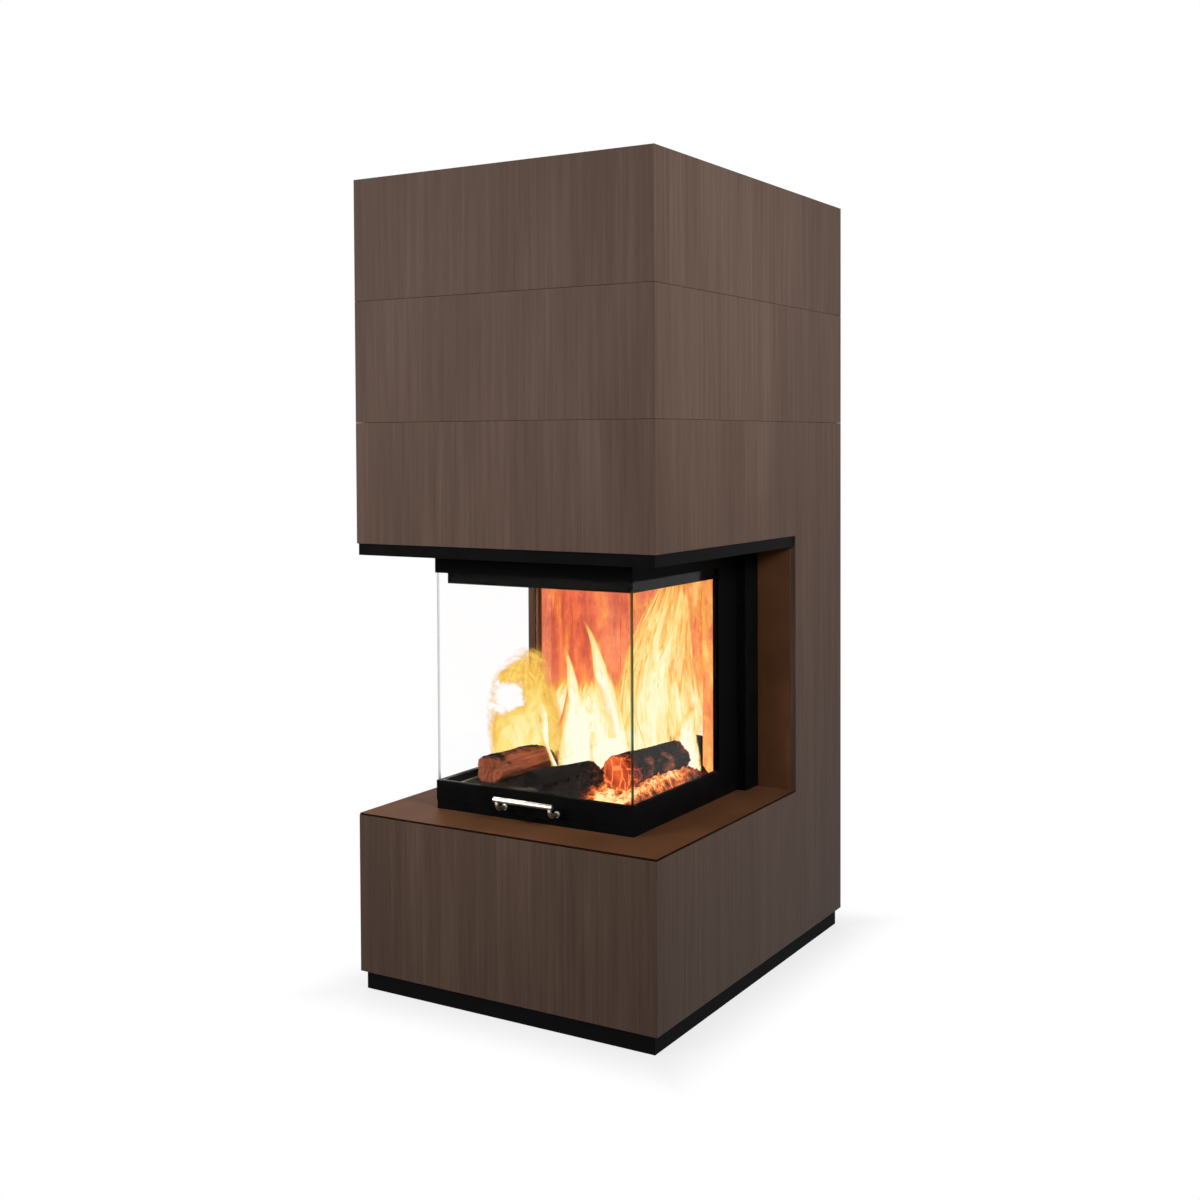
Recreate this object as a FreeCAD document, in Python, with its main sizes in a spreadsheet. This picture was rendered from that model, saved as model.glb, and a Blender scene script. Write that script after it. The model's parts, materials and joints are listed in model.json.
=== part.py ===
"""Three-sided wood fireplace: a lift-door insert built into a clad casing.

Millimetres. +Z is up, +X is to the right seen from the front and +Y runs to the back.
The origin lies on the floor under the middle of the casing.
"""

import FreeCAD
import Part
import Sketcher
import os
import re

# Driving dimensions, kept in the sheet
SIZES = {
    # Casing
    "casing_width": 710,
    "casing_depth": 905,
    "plinth_height": 38,
    "plinth_inset": 10,
    "pedestal_height": 334,
    "opening_height": 565,
    "row_height": 251,
    "column_depth": 265,
    "slab_gauge": 12,
    "slab_arris": 0.4,
    "seam_gap": 0.5,
    "board_gauge": 30,
    "cover_gauge": 12,
    "rear_gauge": 12,
    # Painted sheet round the opening
    "shelf_gauge": 4,
    "shelf_inset": 1,
    "shelf_gap": 2,
    "panel_gauge": 2,
    "panel_gap": 2.5,
    "soffit_height": 24,
    "soffit_inset": 3,
    "soffit_gauge": 3,
    "door_gap": 4,
    # Vent slots
    "vent_width": 10,
    "vent_length": 150,
    "vent_pitch": 26,
    "vent_inset": 60,
    "vent_count": 26,
    "intake_height": 90,
    "intake_rise": 40,
    "intake_pitch": 40,
    "intake_count": 13,
    # Firebox
    "base_height": 165,
    "leg_width": 40,
    "leg_wall": 3,
    "leg_inset": 20,
    "foot_width": 80,
    "foot_gauge": 6,
    "firebox_wall": 4,
    "firebox_clearance": 3,
    "rim_height": 17,
    "rim_width": 12,
    "rim_inset": 1,
    "deck_drop": 4,
    "shell_gap": 3.5,
    "shell_setback": 7,
    "canopy_drop": 24,
    "canopy_setback": 13,
    "skirt_height": 58,
    "dome_rise": 250,
    "dome_crown": 260,
    "flue_radius": 88,
    "flue_wall": 3,
    "flue_flange": 20,
    "flue_standing": 40,
    "socket_radius": 90.5,
    "socket_length": 60,
    "flue_gap": 5,
    "lining_gauge": 25,
    "floor_gauge": 35,
    "lining_rise": 8,
    "lining_joint": 3,
    "floor_clearance": 6,
    "baffle_gauge": 25,
    "baffle_setback": 120,
    "ledge_width": 15,
    "ledge_gauge": 5,
    # Combustion air
    "duct_radius": 62.5,
    "duct_wall": 2,
    "duct_flange": 18,
    "duct_gap": 2,
    "duct_rise": 80,
    "slide_width": 260,
    "slide_depth": 34,
    "slide_gauge": 4,
    "slide_clearance": 0.3,
    "slide_travel": 30,
    "slide_tab_width": 24,
    "slide_tab_reach": 14,
    "slide_port_width": 30,
    "slide_port_depth": 8,
    "slide_ledge": 10,
    # Lift door
    "door_margin": 115,
    "door_setback": 115.5,
    "door_travel": 430,
    "rail_gauge": 12,
    "rail_lip": 2,
    "bottom_rail_height": 42,
    "top_rail_height": 46,
    "door_overlap": 5,
    "frame_depth": 149.5,
    "glass_gauge": 4,
    "glass_play": 0.5,
    "glass_bite": 12,
    "seal_width": 6,
    "seal_depth": 3,
    "seal_proud": 0.5,
    "ferrule_radius": 5,
    "ferrule_height": 16,
    # Door handle
    "handle_length": 142,
    "handle_radius": 5.5,
    "handle_reach": 30,
    "handle_lift": 26.5,
    "handle_drop": 20,
    "handle_leg_radius": 4.5,
    "handle_leg_spacing": 128,
    "handle_bend": 12,
    "handle_flange_radius": 6.5,
    "handle_flange_gauge": 3,
    # Guides and rollers
    "guide_width": 20,
    "guide_gauge": 3,
    "guide_gap": 1.5,
    "guide_clearance": 0.3,
    "guide_headroom": 60,
    "roller_radius": 27,
    "roller_width": 13,
    "roller_hub_width": 15,
    "roller_hub_radius": 12,
    "roller_edge": 2,
    "roller_inset": 42,
    "pin_radius": 6,
    "pin_play": 0.05,
    "stile_margin": 18,
    # Counterbalance
    "pulley_pitch": 65,
    "pulley_width": 12,
    "pulley_rim": 9,
    "pulley_edge": 5,
    "pulley_web": 5,
    "pulley_hub_radius": 18,
    "pulley_hole_radius": 11,
    "pulley_hole_count": 5,
    "pulley_rise": 40,
    "groove_half": 2.5,
    "groove_flare": 1,
    "shaft_radius": 8,
    "shaft_play": 0.05,
    "shaft_stub": 3,
    "ear_margin": 26,
    "ear_slope": 60,
    "rope_radius": 2,
    "rope_clearance": 0.3,
    "weight_width": 60,
    "weight_depth": 70,
    "weight_length": 440,
    "weight_edge": 4,
    "weight_drop": 150,
    # Fuel
    "log_left_setback": 45,
    "log_left_angle": 85,
    "log_left_gap": 160,
    "log_left_width": 84,
    "log_left_height": 62,
    "log_front_setback": 35,
    "log_front_angle": 74,
    "log_front_length": 165,
    "log_front_width": 78,
    "log_front_height": 44,
    "log_right_setback": 81,
    "log_right_angle": 86,
    "log_right_gap": 62,
    "log_right_width": 86,
    "log_right_height": 84,
    "log_rear_setback": 63,
    "log_rear_margin": 8,
    "log_rear_angle": 3,
    "log_rear_length": 232,
    "log_rear_width": 78,
    "log_rear_height": 74,
    # Shared overrun of every cut
    "overrun": 5,
}

# Places worked out from the driving dimensions, in the order in which they build on each other
PLACES = {
    "half_width": "casing_width / 2",
    "front_face": "-casing_depth / 2",
    "back_face": "casing_depth / 2",
    "niche_back": "back_face - column_depth",
    "shelf_top": "plinth_height + pedestal_height",
    "pedestal_top": "shelf_top - shelf_gauge",
    "hood_bottom": "shelf_top + opening_height",
    "first_seam": "hood_bottom + row_height",
    "second_seam": "first_seam + row_height",
    "casing_top": "second_seam + row_height",
    "slab_inside": "half_width - slab_gauge",
    "slab_back": "front_face + slab_gauge",
    "board_inside": "slab_inside - board_gauge",
    "board_back": "slab_back + board_gauge",
    "cover_bottom": "casing_top - cover_gauge",
    "rear_inside": "back_face - rear_gauge",
    "soffit_bottom": "hood_bottom - soffit_height",
    # Lift door
    "door_half": "half_width - door_margin",
    "door_inside": "door_half - rail_gauge",
    "door_front": "front_face + door_setback",
    "rail_back": "door_front + rail_gauge",
    "rim_top": "shelf_top + rim_height",
    "door_bottom": "rim_top + seal_proud",
    "bottom_rail_top": "door_bottom + bottom_rail_height",
    "door_top": "soffit_bottom + door_overlap",
    "top_rail_bottom": "door_top - top_rail_height",
    "stile_front": "niche_back - frame_depth",
    "glass_outside": "door_half - rail_lip - glass_play",
    "glass_front": "door_front + rail_lip + glass_play",
    "glass_back": "glass_front + glass_gauge",
    "glass_bottom": "bottom_rail_top - glass_bite",
    "glass_top": "top_rail_bottom + glass_bite - glass_play",
    "slot_width": "glass_gauge + 2 * glass_play",
    # Guides
    "guide_depth": "2 * (roller_radius + guide_clearance + guide_gauge)",
    "guide_front": "niche_back - guide_depth",
    "guide_inside": "door_half + guide_gap",
    "guide_outside": "guide_inside + guide_width",
    "roller_axis": "niche_back - guide_depth / 2",
    "roller_middle": "(guide_inside + guide_outside - guide_gauge) / 2",
    "stile_back": "roller_axis + stile_margin",
    "lower_roller": "door_bottom + roller_inset",
    "upper_roller": "door_top - roller_inset",
    "guide_top": "upper_roller + door_travel + roller_radius + guide_headroom",
    # Counterbalance
    "pulley_height": "guide_top + pulley_rise",
    "pulley_axis": "roller_axis + pulley_pitch",
    "rope_plane": "door_half - rail_gauge / 2",
    "rope_back": "pulley_axis + pulley_pitch",
    "rope_start": "door_top + ferrule_height",
    "weight_top": "pulley_height - weight_drop",
    # Firebox
    "firebox_half": "door_inside - firebox_clearance",
    "firebox_inside": "firebox_half - firebox_wall",
    "shell_front": "stile_front + shell_setback",
    "shell_back": "niche_back - shell_gap",
    "shell_inside": "shell_back - firebox_wall",
    "base_half": "door_half - rim_inset",
    "base_front": "door_front + rim_inset",
    "deck_top": "rim_top - deck_drop",
    "deck_bottom": "deck_top - firebox_wall",
    "base_bottom": "deck_top - base_height",
    "duct_height": "base_bottom + duct_rise",
    "canopy_bottom": "top_rail_bottom - canopy_drop",
    "canopy_front": "rail_back + canopy_setback",
    "skirt_top": "canopy_bottom + skirt_height",
    "dome_top": "skirt_top + dome_rise",
    "flue_axis": "(canopy_front + shell_back) / 2",
    "flue_top": "casing_top + flue_standing",
    "flue_outside": "socket_radius + flue_wall",
    "floor_top": "deck_top + floor_gauge",
    "lining_face": "shell_inside - lining_gauge",
    "lining_top": "canopy_bottom + lining_rise",
    "slide_top": "deck_bottom - slide_clearance",
    "slide_bottom": "slide_top - slide_gauge",
    "slide_front": "base_front + firebox_wall + slide_clearance",
    "slide_back": "slide_front + slide_depth",
    "ledge_top": "slide_bottom - slide_clearance",
    # Fuel
    "log_rear_back": "lining_face - log_rear_setback",
    "log_left_front": "rail_back + log_left_setback",
    "log_front_front": "rail_back + log_front_setback",
    "log_right_front": "rail_back + log_right_setback",
    "log_left_length": "lining_face - log_left_gap - log_left_front",
    "log_right_length": "log_rear_back - log_rear_width / 2 - log_right_gap - log_right_front",
    "log_rear_start": "firebox_inside - lining_gauge - log_rear_margin - log_rear_length",
}

SIDES = ("left", "right")
FULL_TURN = 360
HALF_TURN = 180

# Log section as shares of its width and height, from the flat split underside round over the bark
LOG_SECTION_SHARES = (
    (-0.50, 0.00),
    (0.46, 0.00),
    (0.50, 0.34),
    (0.30, 0.78),
    (0.02, 1.00),
    (-0.30, 0.86),
    (-0.48, 0.44),
)
LOG_TAPER_SHARE = 0.88

# Place of each lengthwise log across the chamber, as a share of its half width
LOG_ACROSS_SHARES = {"left": -0.63, "front": -0.1, "right": 0.65}

# Two lengths closer than this are the same
SAME_LENGTH = 1e-6

document = FreeCAD.newDocument("Fireplace")
sizes = document.addObject("Spreadsheet::Sheet", "Sizes")
places = document.addObject("App::VarSet", "Places")
owners = {}
pieces = []


def fill_sheet():
    """Writes each driving dimension into the sheet and names its cell."""
    for row, (alias, number) in enumerate(SIZES.items(), 1):
        sizes.set(f"A{row}", alias)
        sizes.set(f"B{row}", str(number))
        sizes.setAlias(f"B{row}", alias)
        owners[alias] = "Sizes"
    document.recompute()


def fill_places():
    """Adds each worked-out place as a property bound to the sheet."""
    for name, expression in PLACES.items():
        places.addProperty("App::PropertyFloat", name, "Places")
        places.setExpression(name, full(expression))
        owners[name] = "Places"
    document.recompute()


def full(expression):
    """Expression with each size or place led by the object that holds it."""
    return re.sub(
        r"[a-z][a-z_]*",
        lambda word: f"{owners[word.group()]}.{word.group()}" if word.group() in owners else word.group(),
        expression,
    )


def value(expression):
    """Number that an expression has now."""
    return float(sizes.evalExpression(full(expression)))


def bind(item, setting, expression):
    """Ties one property of an object to the sizes and places."""
    item.setExpression(setting, full(expression))


def beside(side, distance):
    """Distance from the middle plane, signed for a side."""
    return f"-({distance})" if side == "left" else f"({distance})"


def stretch(side, near, far):
    """Both ends of a stretch beside the middle plane, the lower one first."""
    ends = (beside(side, near), beside(side, far))
    return ends if side == "right" else ends[::-1]


def rectangle(left, bottom, right, top):
    """Corners of a rectangle."""
    return [(left, bottom), (right, bottom), (right, top), (left, top)]


def disc(across, up, radius):
    """Circle, as its centre and radius."""
    return (across, up, radius)


def new_piece(label):
    """Empty body whose label names the piece."""
    body = document.addObject("PartDesign::Body", label)
    body.Label = label
    pieces.append(body)
    return body


def tie_point(sketch, geometry, end, across, up):
    """Holds a point of the sketch at bound distances from its origin."""
    for kind, expression in (("DistanceX", across), ("DistanceY", up)):
        constraint = Sketcher.Constraint(kind, -1, 1, geometry, end, value(expression))
        bind(sketch, f"Constraints[{sketch.addConstraint(constraint)}]", expression)


def draw_circle(sketch, across, up, radius):
    """Circle with a bound centre and radius."""
    centre = FreeCAD.Vector(value(across), value(up), 0)
    circle = sketch.addGeometry(Part.Circle(centre, FreeCAD.Vector(0, 0, 1), value(radius)))
    tie_point(sketch, circle, 3, across, up)
    constraint = Sketcher.Constraint("Radius", circle, value(radius))
    bind(sketch, f"Constraints[{sketch.addConstraint(constraint)}]", radius)


def draw_polygon(sketch, points):
    """Closed outline whose corners are each bound."""
    corners = [FreeCAD.Vector(value(across), value(up), 0) for across, up in points]
    following = corners[1:] + corners[:1]
    first = sketch.GeometryCount
    for corner, next_corner in zip(corners, following):
        sketch.addGeometry(Part.LineSegment(corner, next_corner))
    for index, (across, up) in enumerate(points):
        after = first + (index + 1) % len(points)
        sketch.addConstraint(Sketcher.Constraint("Coincident", first + index, 2, after, 1))
        tie_point(sketch, first + index, 1, across, up)


def draw(body, plane, level, *outlines):
    """Sketch at a level along the axis of one of the body's origin planes."""
    sketch = body.newObject("Sketcher::SketchObject", f"{body.Label}_sketch")
    support = next(item for item in body.Origin.OriginFeatures if item.Role == f"{plane}_Plane")
    sketch.AttachmentSupport = [(support, "")]
    sketch.MapMode = "FlatFace"
    bind(sketch, "AttachmentOffset.Base.z", f"-({level})" if plane == "XZ" else level)
    for outline in outlines:
        if isinstance(outline, tuple):
            draw_circle(sketch, *outline)
        else:
            draw_polygon(sketch, outline)
    return sketch


def pad(body, plane, start, end, *outlines):
    """Adds the outlines as material between two levels along the plane's axis."""
    sketch = draw(body, plane, end if plane == "XZ" else start, *outlines)
    feature = body.newObject("PartDesign::Pad", f"{body.Label}_pad")
    feature.Profile = sketch
    bind(feature, "Length", f"({end}) - ({start})")
    document.recompute()
    return feature


def cut(body, plane, start, end, *outlines):
    """Takes the outlines away between two levels, and makes sure that material went."""
    before = body.Shape.Volume
    sketch = draw(body, plane, start if plane == "XZ" else end, *outlines)
    feature = body.newObject("PartDesign::Pocket", f"{body.Label}_pocket")
    feature.Profile = sketch
    bind(feature, "Length", f"({end}) - ({start})")
    document.recompute()
    if body.Shape.Volume >= before:
        raise RuntimeError(f"{body.Label}: a cut took nothing away")
    return feature


def revolve(body, plane, level, axis, angle, *outlines):
    """Turns the outlines about the sketch's own horizontal or vertical axis."""
    sketch = draw(body, plane, level, *outlines)
    feature = body.newObject("PartDesign::Revolution", f"{body.Label}_revolution")
    feature.Profile = sketch
    feature.ReferenceAxis = (sketch, [axis])
    feature.Angle = angle
    document.recompute()
    return feature


def loft(body, kind, lower, upper):
    """Straight-sided loft between two sketches, added or taken away."""
    feature = body.newObject(f"PartDesign::{kind}Loft", f"{body.Label}_loft")
    feature.Profile = lower
    feature.Sections = [upper]
    feature.Ruled = True
    document.recompute()
    return feature


def repeat(body, feature, axis, spacing, count):
    """Copies a feature along an axis of its sketch at a bound spacing."""
    pattern = body.newObject("PartDesign::LinearPattern", f"{body.Label}_row")
    pattern.Originals = [feature]
    pattern.Direction = (feature.Profile[0], [axis])
    bind(pattern, "Length", f"({spacing}) * ({count} - 1)")
    bind(pattern, "Occurrences", count)
    body.Tip = pattern
    document.recompute()
    return pattern


def edges_at(shape, keep):
    """Names of the edges of a shape whose middle point and direction pass a test."""
    names = []
    for number, edge in enumerate(shape.Edges, 1):
        middle = edge.valueAt((edge.FirstParameter + edge.LastParameter) / 2)
        if keep(edge, middle):
            names.append(f"Edge{number}")
    return names


def soften(body, kind, size, keep):
    """Chamfers or fillets the edges of the finished body that pass a test."""
    base = body.Tip
    feature = body.newObject(f"PartDesign::{kind}", f"{body.Label}_edges")
    feature.Base = (base, edges_at(base.Shape, keep))
    bind(feature, "Size" if kind == "Chamfer" else "Radius", size)
    document.recompute()
    return feature


def on_plane(axis, level):
    """Test for edges that lie in a plane square to an axis."""
    height = value(level)

    def keep(edge, middle):
        ends = [getattr(vertex.Point, axis) for vertex in edge.Vertexes] + [getattr(middle, axis)]
        return all(abs(end - height) < SAME_LENGTH for end in ends)

    return keep


def place(body, across, along, up):
    """Puts a body that is built about its own origin in the frame."""
    for axis, expression in zip("xyz", (across, along, up)):
        bind(body, f"Placement.Base.{axis}", expression)
    document.recompute()


# Casing


def make_plinth():
    """Recessed black base on which the boards and the insert stand."""
    body = new_piece("plinth")
    side = "half_width - plinth_inset"
    outline = rectangle(f"-({side})", "front_face + plinth_inset", side, "back_face - plinth_inset")
    pad(body, "XY", "0", "plinth_height", outline)
    soften(body, "Chamfer", "slab_arris", on_plane("z", "0"))


def c_outline(front, back, bottom, top):
    """Side elevation of the casing with the niche cut out of its front."""
    return [
        (front, bottom),
        (back, bottom),
        (back, top),
        (front, top),
        (front, "hood_bottom"),
        ("niche_back", "hood_bottom"),
        ("niche_back", "pedestal_top"),
        (front, "pedestal_top"),
    ]


def make_boards():
    """Refractory boards that carry the cladding, the hood and the cover."""
    for side in SIDES:
        body = new_piece(f"board_{side}")
        outline = c_outline("slab_back", "rear_inside", "plinth_height", "cover_bottom")
        pad(body, "YZ", *stretch(side, "board_inside", "slab_inside"), outline)
    for label, bottom, top in (
        ("board_pedestal_front", "plinth_height", "pedestal_top"),
        ("board_hood_front", "hood_bottom", "cover_bottom"),
    ):
        body = new_piece(label)
        outline = rectangle("-board_inside", bottom, "board_inside", top)
        pad(body, "XZ", "slab_back", "board_back", outline)


def mitre(body, side):
    """Cuts the front edge of a side slab at 45 degrees, to meet the front slab."""
    outline = [
        (beside(side, "half_width + overrun"), "front_face - overrun"),
        (beside(side, "slab_inside - overrun"), "slab_back + overrun"),
        (beside(side, "slab_inside - overrun"), "front_face - overrun"),
    ]
    cut(body, "XY", "plinth_height - overrun", "casing_top + overrun", outline)


def make_side_slabs():
    """Cladding of both sides: one C-shaped slab and two plain rows above it."""
    plain_rows = (
        ("middle", "first_seam + seam_gap / 2", "second_seam - seam_gap / 2"),
        ("upper", "second_seam + seam_gap / 2", "casing_top"),
    )
    for side in SIDES:
        outside = on_plane("x", beside(side, "half_width"))
        span = stretch(side, "slab_inside", "half_width")
        body = new_piece(f"slab_side_{side}")
        outline = c_outline("front_face", "back_face", "plinth_height", "first_seam - seam_gap / 2")
        pad(body, "YZ", *span, outline)
        mitre(body, side)
        soften(body, "Chamfer", "slab_arris", outside)
        for row, bottom, top in plain_rows:
            body = new_piece(f"slab_{row}_{side}")
            pad(body, "YZ", *span, rectangle("front_face", bottom, "back_face", top))
            mitre(body, side)
            soften(body, "Chamfer", "slab_arris", outside)


def make_front_slabs():
    """Cladding of the front, mitred at both ends."""
    outline = [
        ("-half_width", "front_face"),
        ("half_width", "front_face"),
        ("slab_inside", "slab_back"),
        ("-slab_inside", "slab_back"),
    ]
    for label, bottom, top in (
        ("slab_pedestal_front", "plinth_height", "pedestal_top"),
        ("slab_front_lower", "hood_bottom", "first_seam - seam_gap / 2"),
        ("slab_front_middle", "first_seam + seam_gap / 2", "second_seam - seam_gap / 2"),
        ("slab_front_upper", "second_seam + seam_gap / 2", "casing_top"),
    ):
        body = new_piece(label)
        pad(body, "XY", bottom, top, outline)
        soften(body, "Chamfer", "slab_arris", on_plane("y", "front_face"))


def make_shelf():
    """U-shaped plate on the pedestal, open at the back round the firebox base."""
    body = new_piece("hearth_shelf")
    outside = "half_width - shelf_inset"
    inside = "base_half + shelf_gap"
    front = "front_face + shelf_inset"
    back = "niche_back - panel_gauge"
    notch = "base_front - shelf_gap"
    outline = [
        (f"-({outside})", front),
        (outside, front),
        (outside, back),
        (inside, back),
        (inside, notch),
        (f"-({inside})", notch),
        (f"-({inside})", back),
        (f"-({outside})", back),
    ]
    pad(body, "XY", "pedestal_top", "shelf_top", outline)


def make_niche_panels():
    """Painted sheets that close the column beside the guide rails."""
    for side in SIDES:
        body = new_piece(f"niche_panel_{side}")
        inner = beside(side, "guide_outside + panel_gap")
        outline = rectangle(inner, "pedestal_top", beside(side, "slab_inside"), "hood_bottom")
        pad(body, "XZ", "niche_back - panel_gauge", "niche_back", outline)


def soffit_outline(inset):
    """Plan of the soffit tray, drawn in by an inset on every edge."""
    outside = f"half_width - soffit_inset - {inset}"
    front = f"front_face + soffit_inset + {inset}"
    back = f"niche_back - panel_gauge - {inset}"
    well = f"door_half + door_gap + {inset}"
    well_front = f"door_front - door_gap - {inset}"
    step = f"guide_front - door_gap - {inset}"
    guide = f"guide_outside + panel_gap + {inset}"
    half = [(outside, front), (outside, back), (guide, back), (guide, step), (well, step), (well, well_front)]
    return half + [(f"-({across})", along) for across, along in reversed(half)]


def make_soffit():
    """Folded black tray under the hood, with a well through which the door rises."""
    body = new_piece("hood_soffit")
    pad(body, "XY", "soffit_bottom", "hood_bottom", soffit_outline("0"))
    cut(body, "XY", "soffit_bottom + soffit_gauge", "hood_bottom + overrun", soffit_outline("soffit_gauge"))


def make_cover():
    """Top plate with the flue hole and two rows of warm-air slots."""
    body = new_piece("top_cover")
    outline = rectangle("-slab_inside", "slab_back", "slab_inside", "rear_inside")
    pad(body, "XY", "cover_bottom", "casing_top", outline)
    span = ("cover_bottom - overrun", "casing_top + overrun")
    cut(body, "XY", *span, disc("0", "flue_axis", "flue_outside + flue_gap"))
    start = "slab_back + vent_inset"
    slots = [
        rectangle(
            beside(side, "slab_inside - vent_inset - vent_length"),
            start,
            beside(side, "slab_inside - vent_inset"),
            f"{start} + vent_width",
        )
        for side in SIDES
    ]
    first = cut(body, "XY", *span, *slots)
    repeat(body, first, "V_Axis", "vent_pitch", "vent_count")


def make_rear_panel():
    """Back plate with the combustion-air hole and a row of intake slots."""
    body = new_piece("rear_panel")
    outline = rectangle("-slab_inside", "plinth_height", "slab_inside", "casing_top")
    pad(body, "XZ", "rear_inside", "back_face", outline)
    span = ("rear_inside - overrun", "back_face + overrun")
    cut(body, "XZ", *span, disc("0", "duct_height", "duct_radius + duct_wall + duct_gap"))
    start = "-(intake_count - 1) / 2 * intake_pitch"
    bottom = "plinth_height + intake_rise"
    slot = rectangle(
        f"{start} - vent_width / 2",
        bottom,
        f"{start} + vent_width / 2",
        f"{bottom} + intake_height",
    )
    first = cut(body, "XZ", *span, slot)
    repeat(body, first, "H_Axis", "intake_pitch", "intake_count")


# Firebox


def make_legs():
    """Four square tubes with foot plates under the firebox base."""
    body = new_piece("insert_legs")
    body.AllowCompound = True
    middles = [
        (beside(side, "base_half - leg_inset - leg_width / 2"), along)
        for side in SIDES
        for along in ("base_front + leg_inset + leg_width / 2", "shell_back - leg_inset - leg_width / 2")
    ]

    def squares(width):
        return [
            rectangle(
                f"{across} - ({width}) / 2",
                f"{along} - ({width}) / 2",
                f"{across} + ({width}) / 2",
                f"{along} + ({width}) / 2",
            )
            for across, along in middles
        ]

    foot_top = "plinth_height + foot_gauge"
    pad(body, "XY", "plinth_height", foot_top, *squares("foot_width"))
    pad(body, "XY", foot_top, "base_bottom", *squares("leg_width"), *squares("leg_width - 2 * leg_wall"))


def u_outline(outside, front, inside, notch, back):
    """Plan of a U that is open at the back, from its outer and inner lines."""
    return [
        (f"-({outside})", front),
        (outside, front),
        (outside, back),
        (inside, back),
        (inside, notch),
        (f"-({inside})", notch),
        (f"-({inside})", back),
        (f"-({outside})", back),
    ]


def make_base():
    """Welded air box under the fire, with the rim that the door closes on."""
    body = new_piece("firebox_base")
    pad(body, "XY", "base_bottom", "deck_top", rectangle("-base_half", "base_front", "base_half", "shell_back"))
    hollow_half = "base_half - firebox_wall"
    hollow_front = "base_front + firebox_wall"
    hollow = rectangle(f"-({hollow_half})", hollow_front, hollow_half, "shell_inside")
    cut(body, "XY", "base_bottom + firebox_wall", "deck_bottom", hollow)
    rim_inside = "base_half - rim_width"
    rim_notch = "base_front + rim_width"
    pad(body, "XY", "deck_top", "rim_top", u_outline("base_half", "base_front", rim_inside, rim_notch, "shell_back"))
    groove = seal_outline("shell_back + overrun")
    cut(body, "XY", "rim_top - seal_depth", "rim_top + overrun", groove)
    cut(body, "XZ", "shell_inside - overrun", "shell_back + overrun", disc("0", "duct_height", "duct_radius"))
    slot_half = "slide_tab_width / 2 + slide_travel + slide_clearance"
    slot = rectangle(f"-({slot_half})", "ledge_top", slot_half, "deck_bottom")
    cut(body, "XZ", "base_front - overrun", hollow_front, slot)
    port_half = "slide_port_width / 2"
    for shift in ("-slide_travel", "slide_travel"):
        port = rectangle(
            f"{shift} - {port_half}",
            "(slide_front + slide_back - slide_port_depth) / 2",
            f"{shift} + {port_half}",
            "(slide_front + slide_back + slide_port_depth) / 2",
        )
        cut(body, "XY", "deck_bottom - slide_clearance", "deck_top + overrun", port)
    for side in SIDES:
        near = "slide_width / 2 - slide_travel - slide_ledge"
        outline = rectangle(beside(side, near), hollow_front, beside(side, hollow_half), "slide_back")
        pad(body, "XY", "ledge_top - slide_gauge", "ledge_top", outline)


def seal_outline(back):
    """Plan of the seal in the middle of the rim."""
    outside = "base_half - (rim_width - seal_width) / 2"
    front = "base_front + (rim_width - seal_width) / 2"
    return u_outline(outside, front, f"{outside} - seal_width", f"{front} + seal_width", back)


def make_seal():
    """Woven seal in the rim, on which the closed door rests."""
    body = new_piece("door_seal")
    pad(body, "XY", "rim_top - seal_depth", "door_bottom", seal_outline("stile_back"))


def make_shell():
    """U-shaped back and side walls of the fire chamber."""
    body = new_piece("firebox_shell")
    outline = [
        ("-firebox_half", "shell_back"),
        ("-firebox_half", "shell_front"),
        ("-firebox_inside", "shell_front"),
        ("-firebox_inside", "shell_inside"),
        ("firebox_inside", "shell_inside"),
        ("firebox_inside", "shell_front"),
        ("firebox_half", "shell_front"),
        ("firebox_half", "shell_back"),
    ]
    pad(body, "XY", "deck_top", "canopy_bottom", outline)


def make_dome():
    """Canopy skirt and tapering smoke dome, with ledges for the baffle."""
    body = new_piece("smoke_dome")
    skirt = rectangle("-firebox_half", "canopy_front", "firebox_half", "shell_back")
    hollow = rectangle("-firebox_inside", "canopy_front + firebox_wall", "firebox_inside", "shell_inside")
    crown = rectangle(
        "-dome_crown / 2",
        "flue_axis - dome_crown / 2",
        "dome_crown / 2",
        "flue_axis + dome_crown / 2",
    )
    crown_inside = "(dome_crown / 2 - firebox_wall)"
    crown_hollow = rectangle(
        f"-{crown_inside}",
        f"flue_axis - {crown_inside}",
        crown_inside,
        f"flue_axis + {crown_inside}",
    )
    pad(body, "XY", "canopy_bottom", "skirt_top", skirt)
    loft(body, "Additive", draw(body, "XY", "skirt_top", skirt), draw(body, "XY", "dome_top", crown))
    cut(body, "XY", "canopy_bottom - overrun", "skirt_top", hollow)
    inner_top = draw(body, "XY", "dome_top - firebox_wall", crown_hollow)
    loft(body, "Subtractive", draw(body, "XY", "skirt_top", hollow), inner_top)
    cut(body, "XY", "dome_top - firebox_wall - overrun", "dome_top + overrun", disc("0", "flue_axis", "flue_radius"))
    for side in SIDES:
        outline = rectangle(
            beside(side, "firebox_inside - ledge_width"),
            "canopy_front + baffle_setback",
            beside(side, "firebox_half - firebox_wall / 2"),
            "shell_front",
        )
        pad(body, "XY", "lining_top - ledge_gauge", "lining_top", outline)


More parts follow.
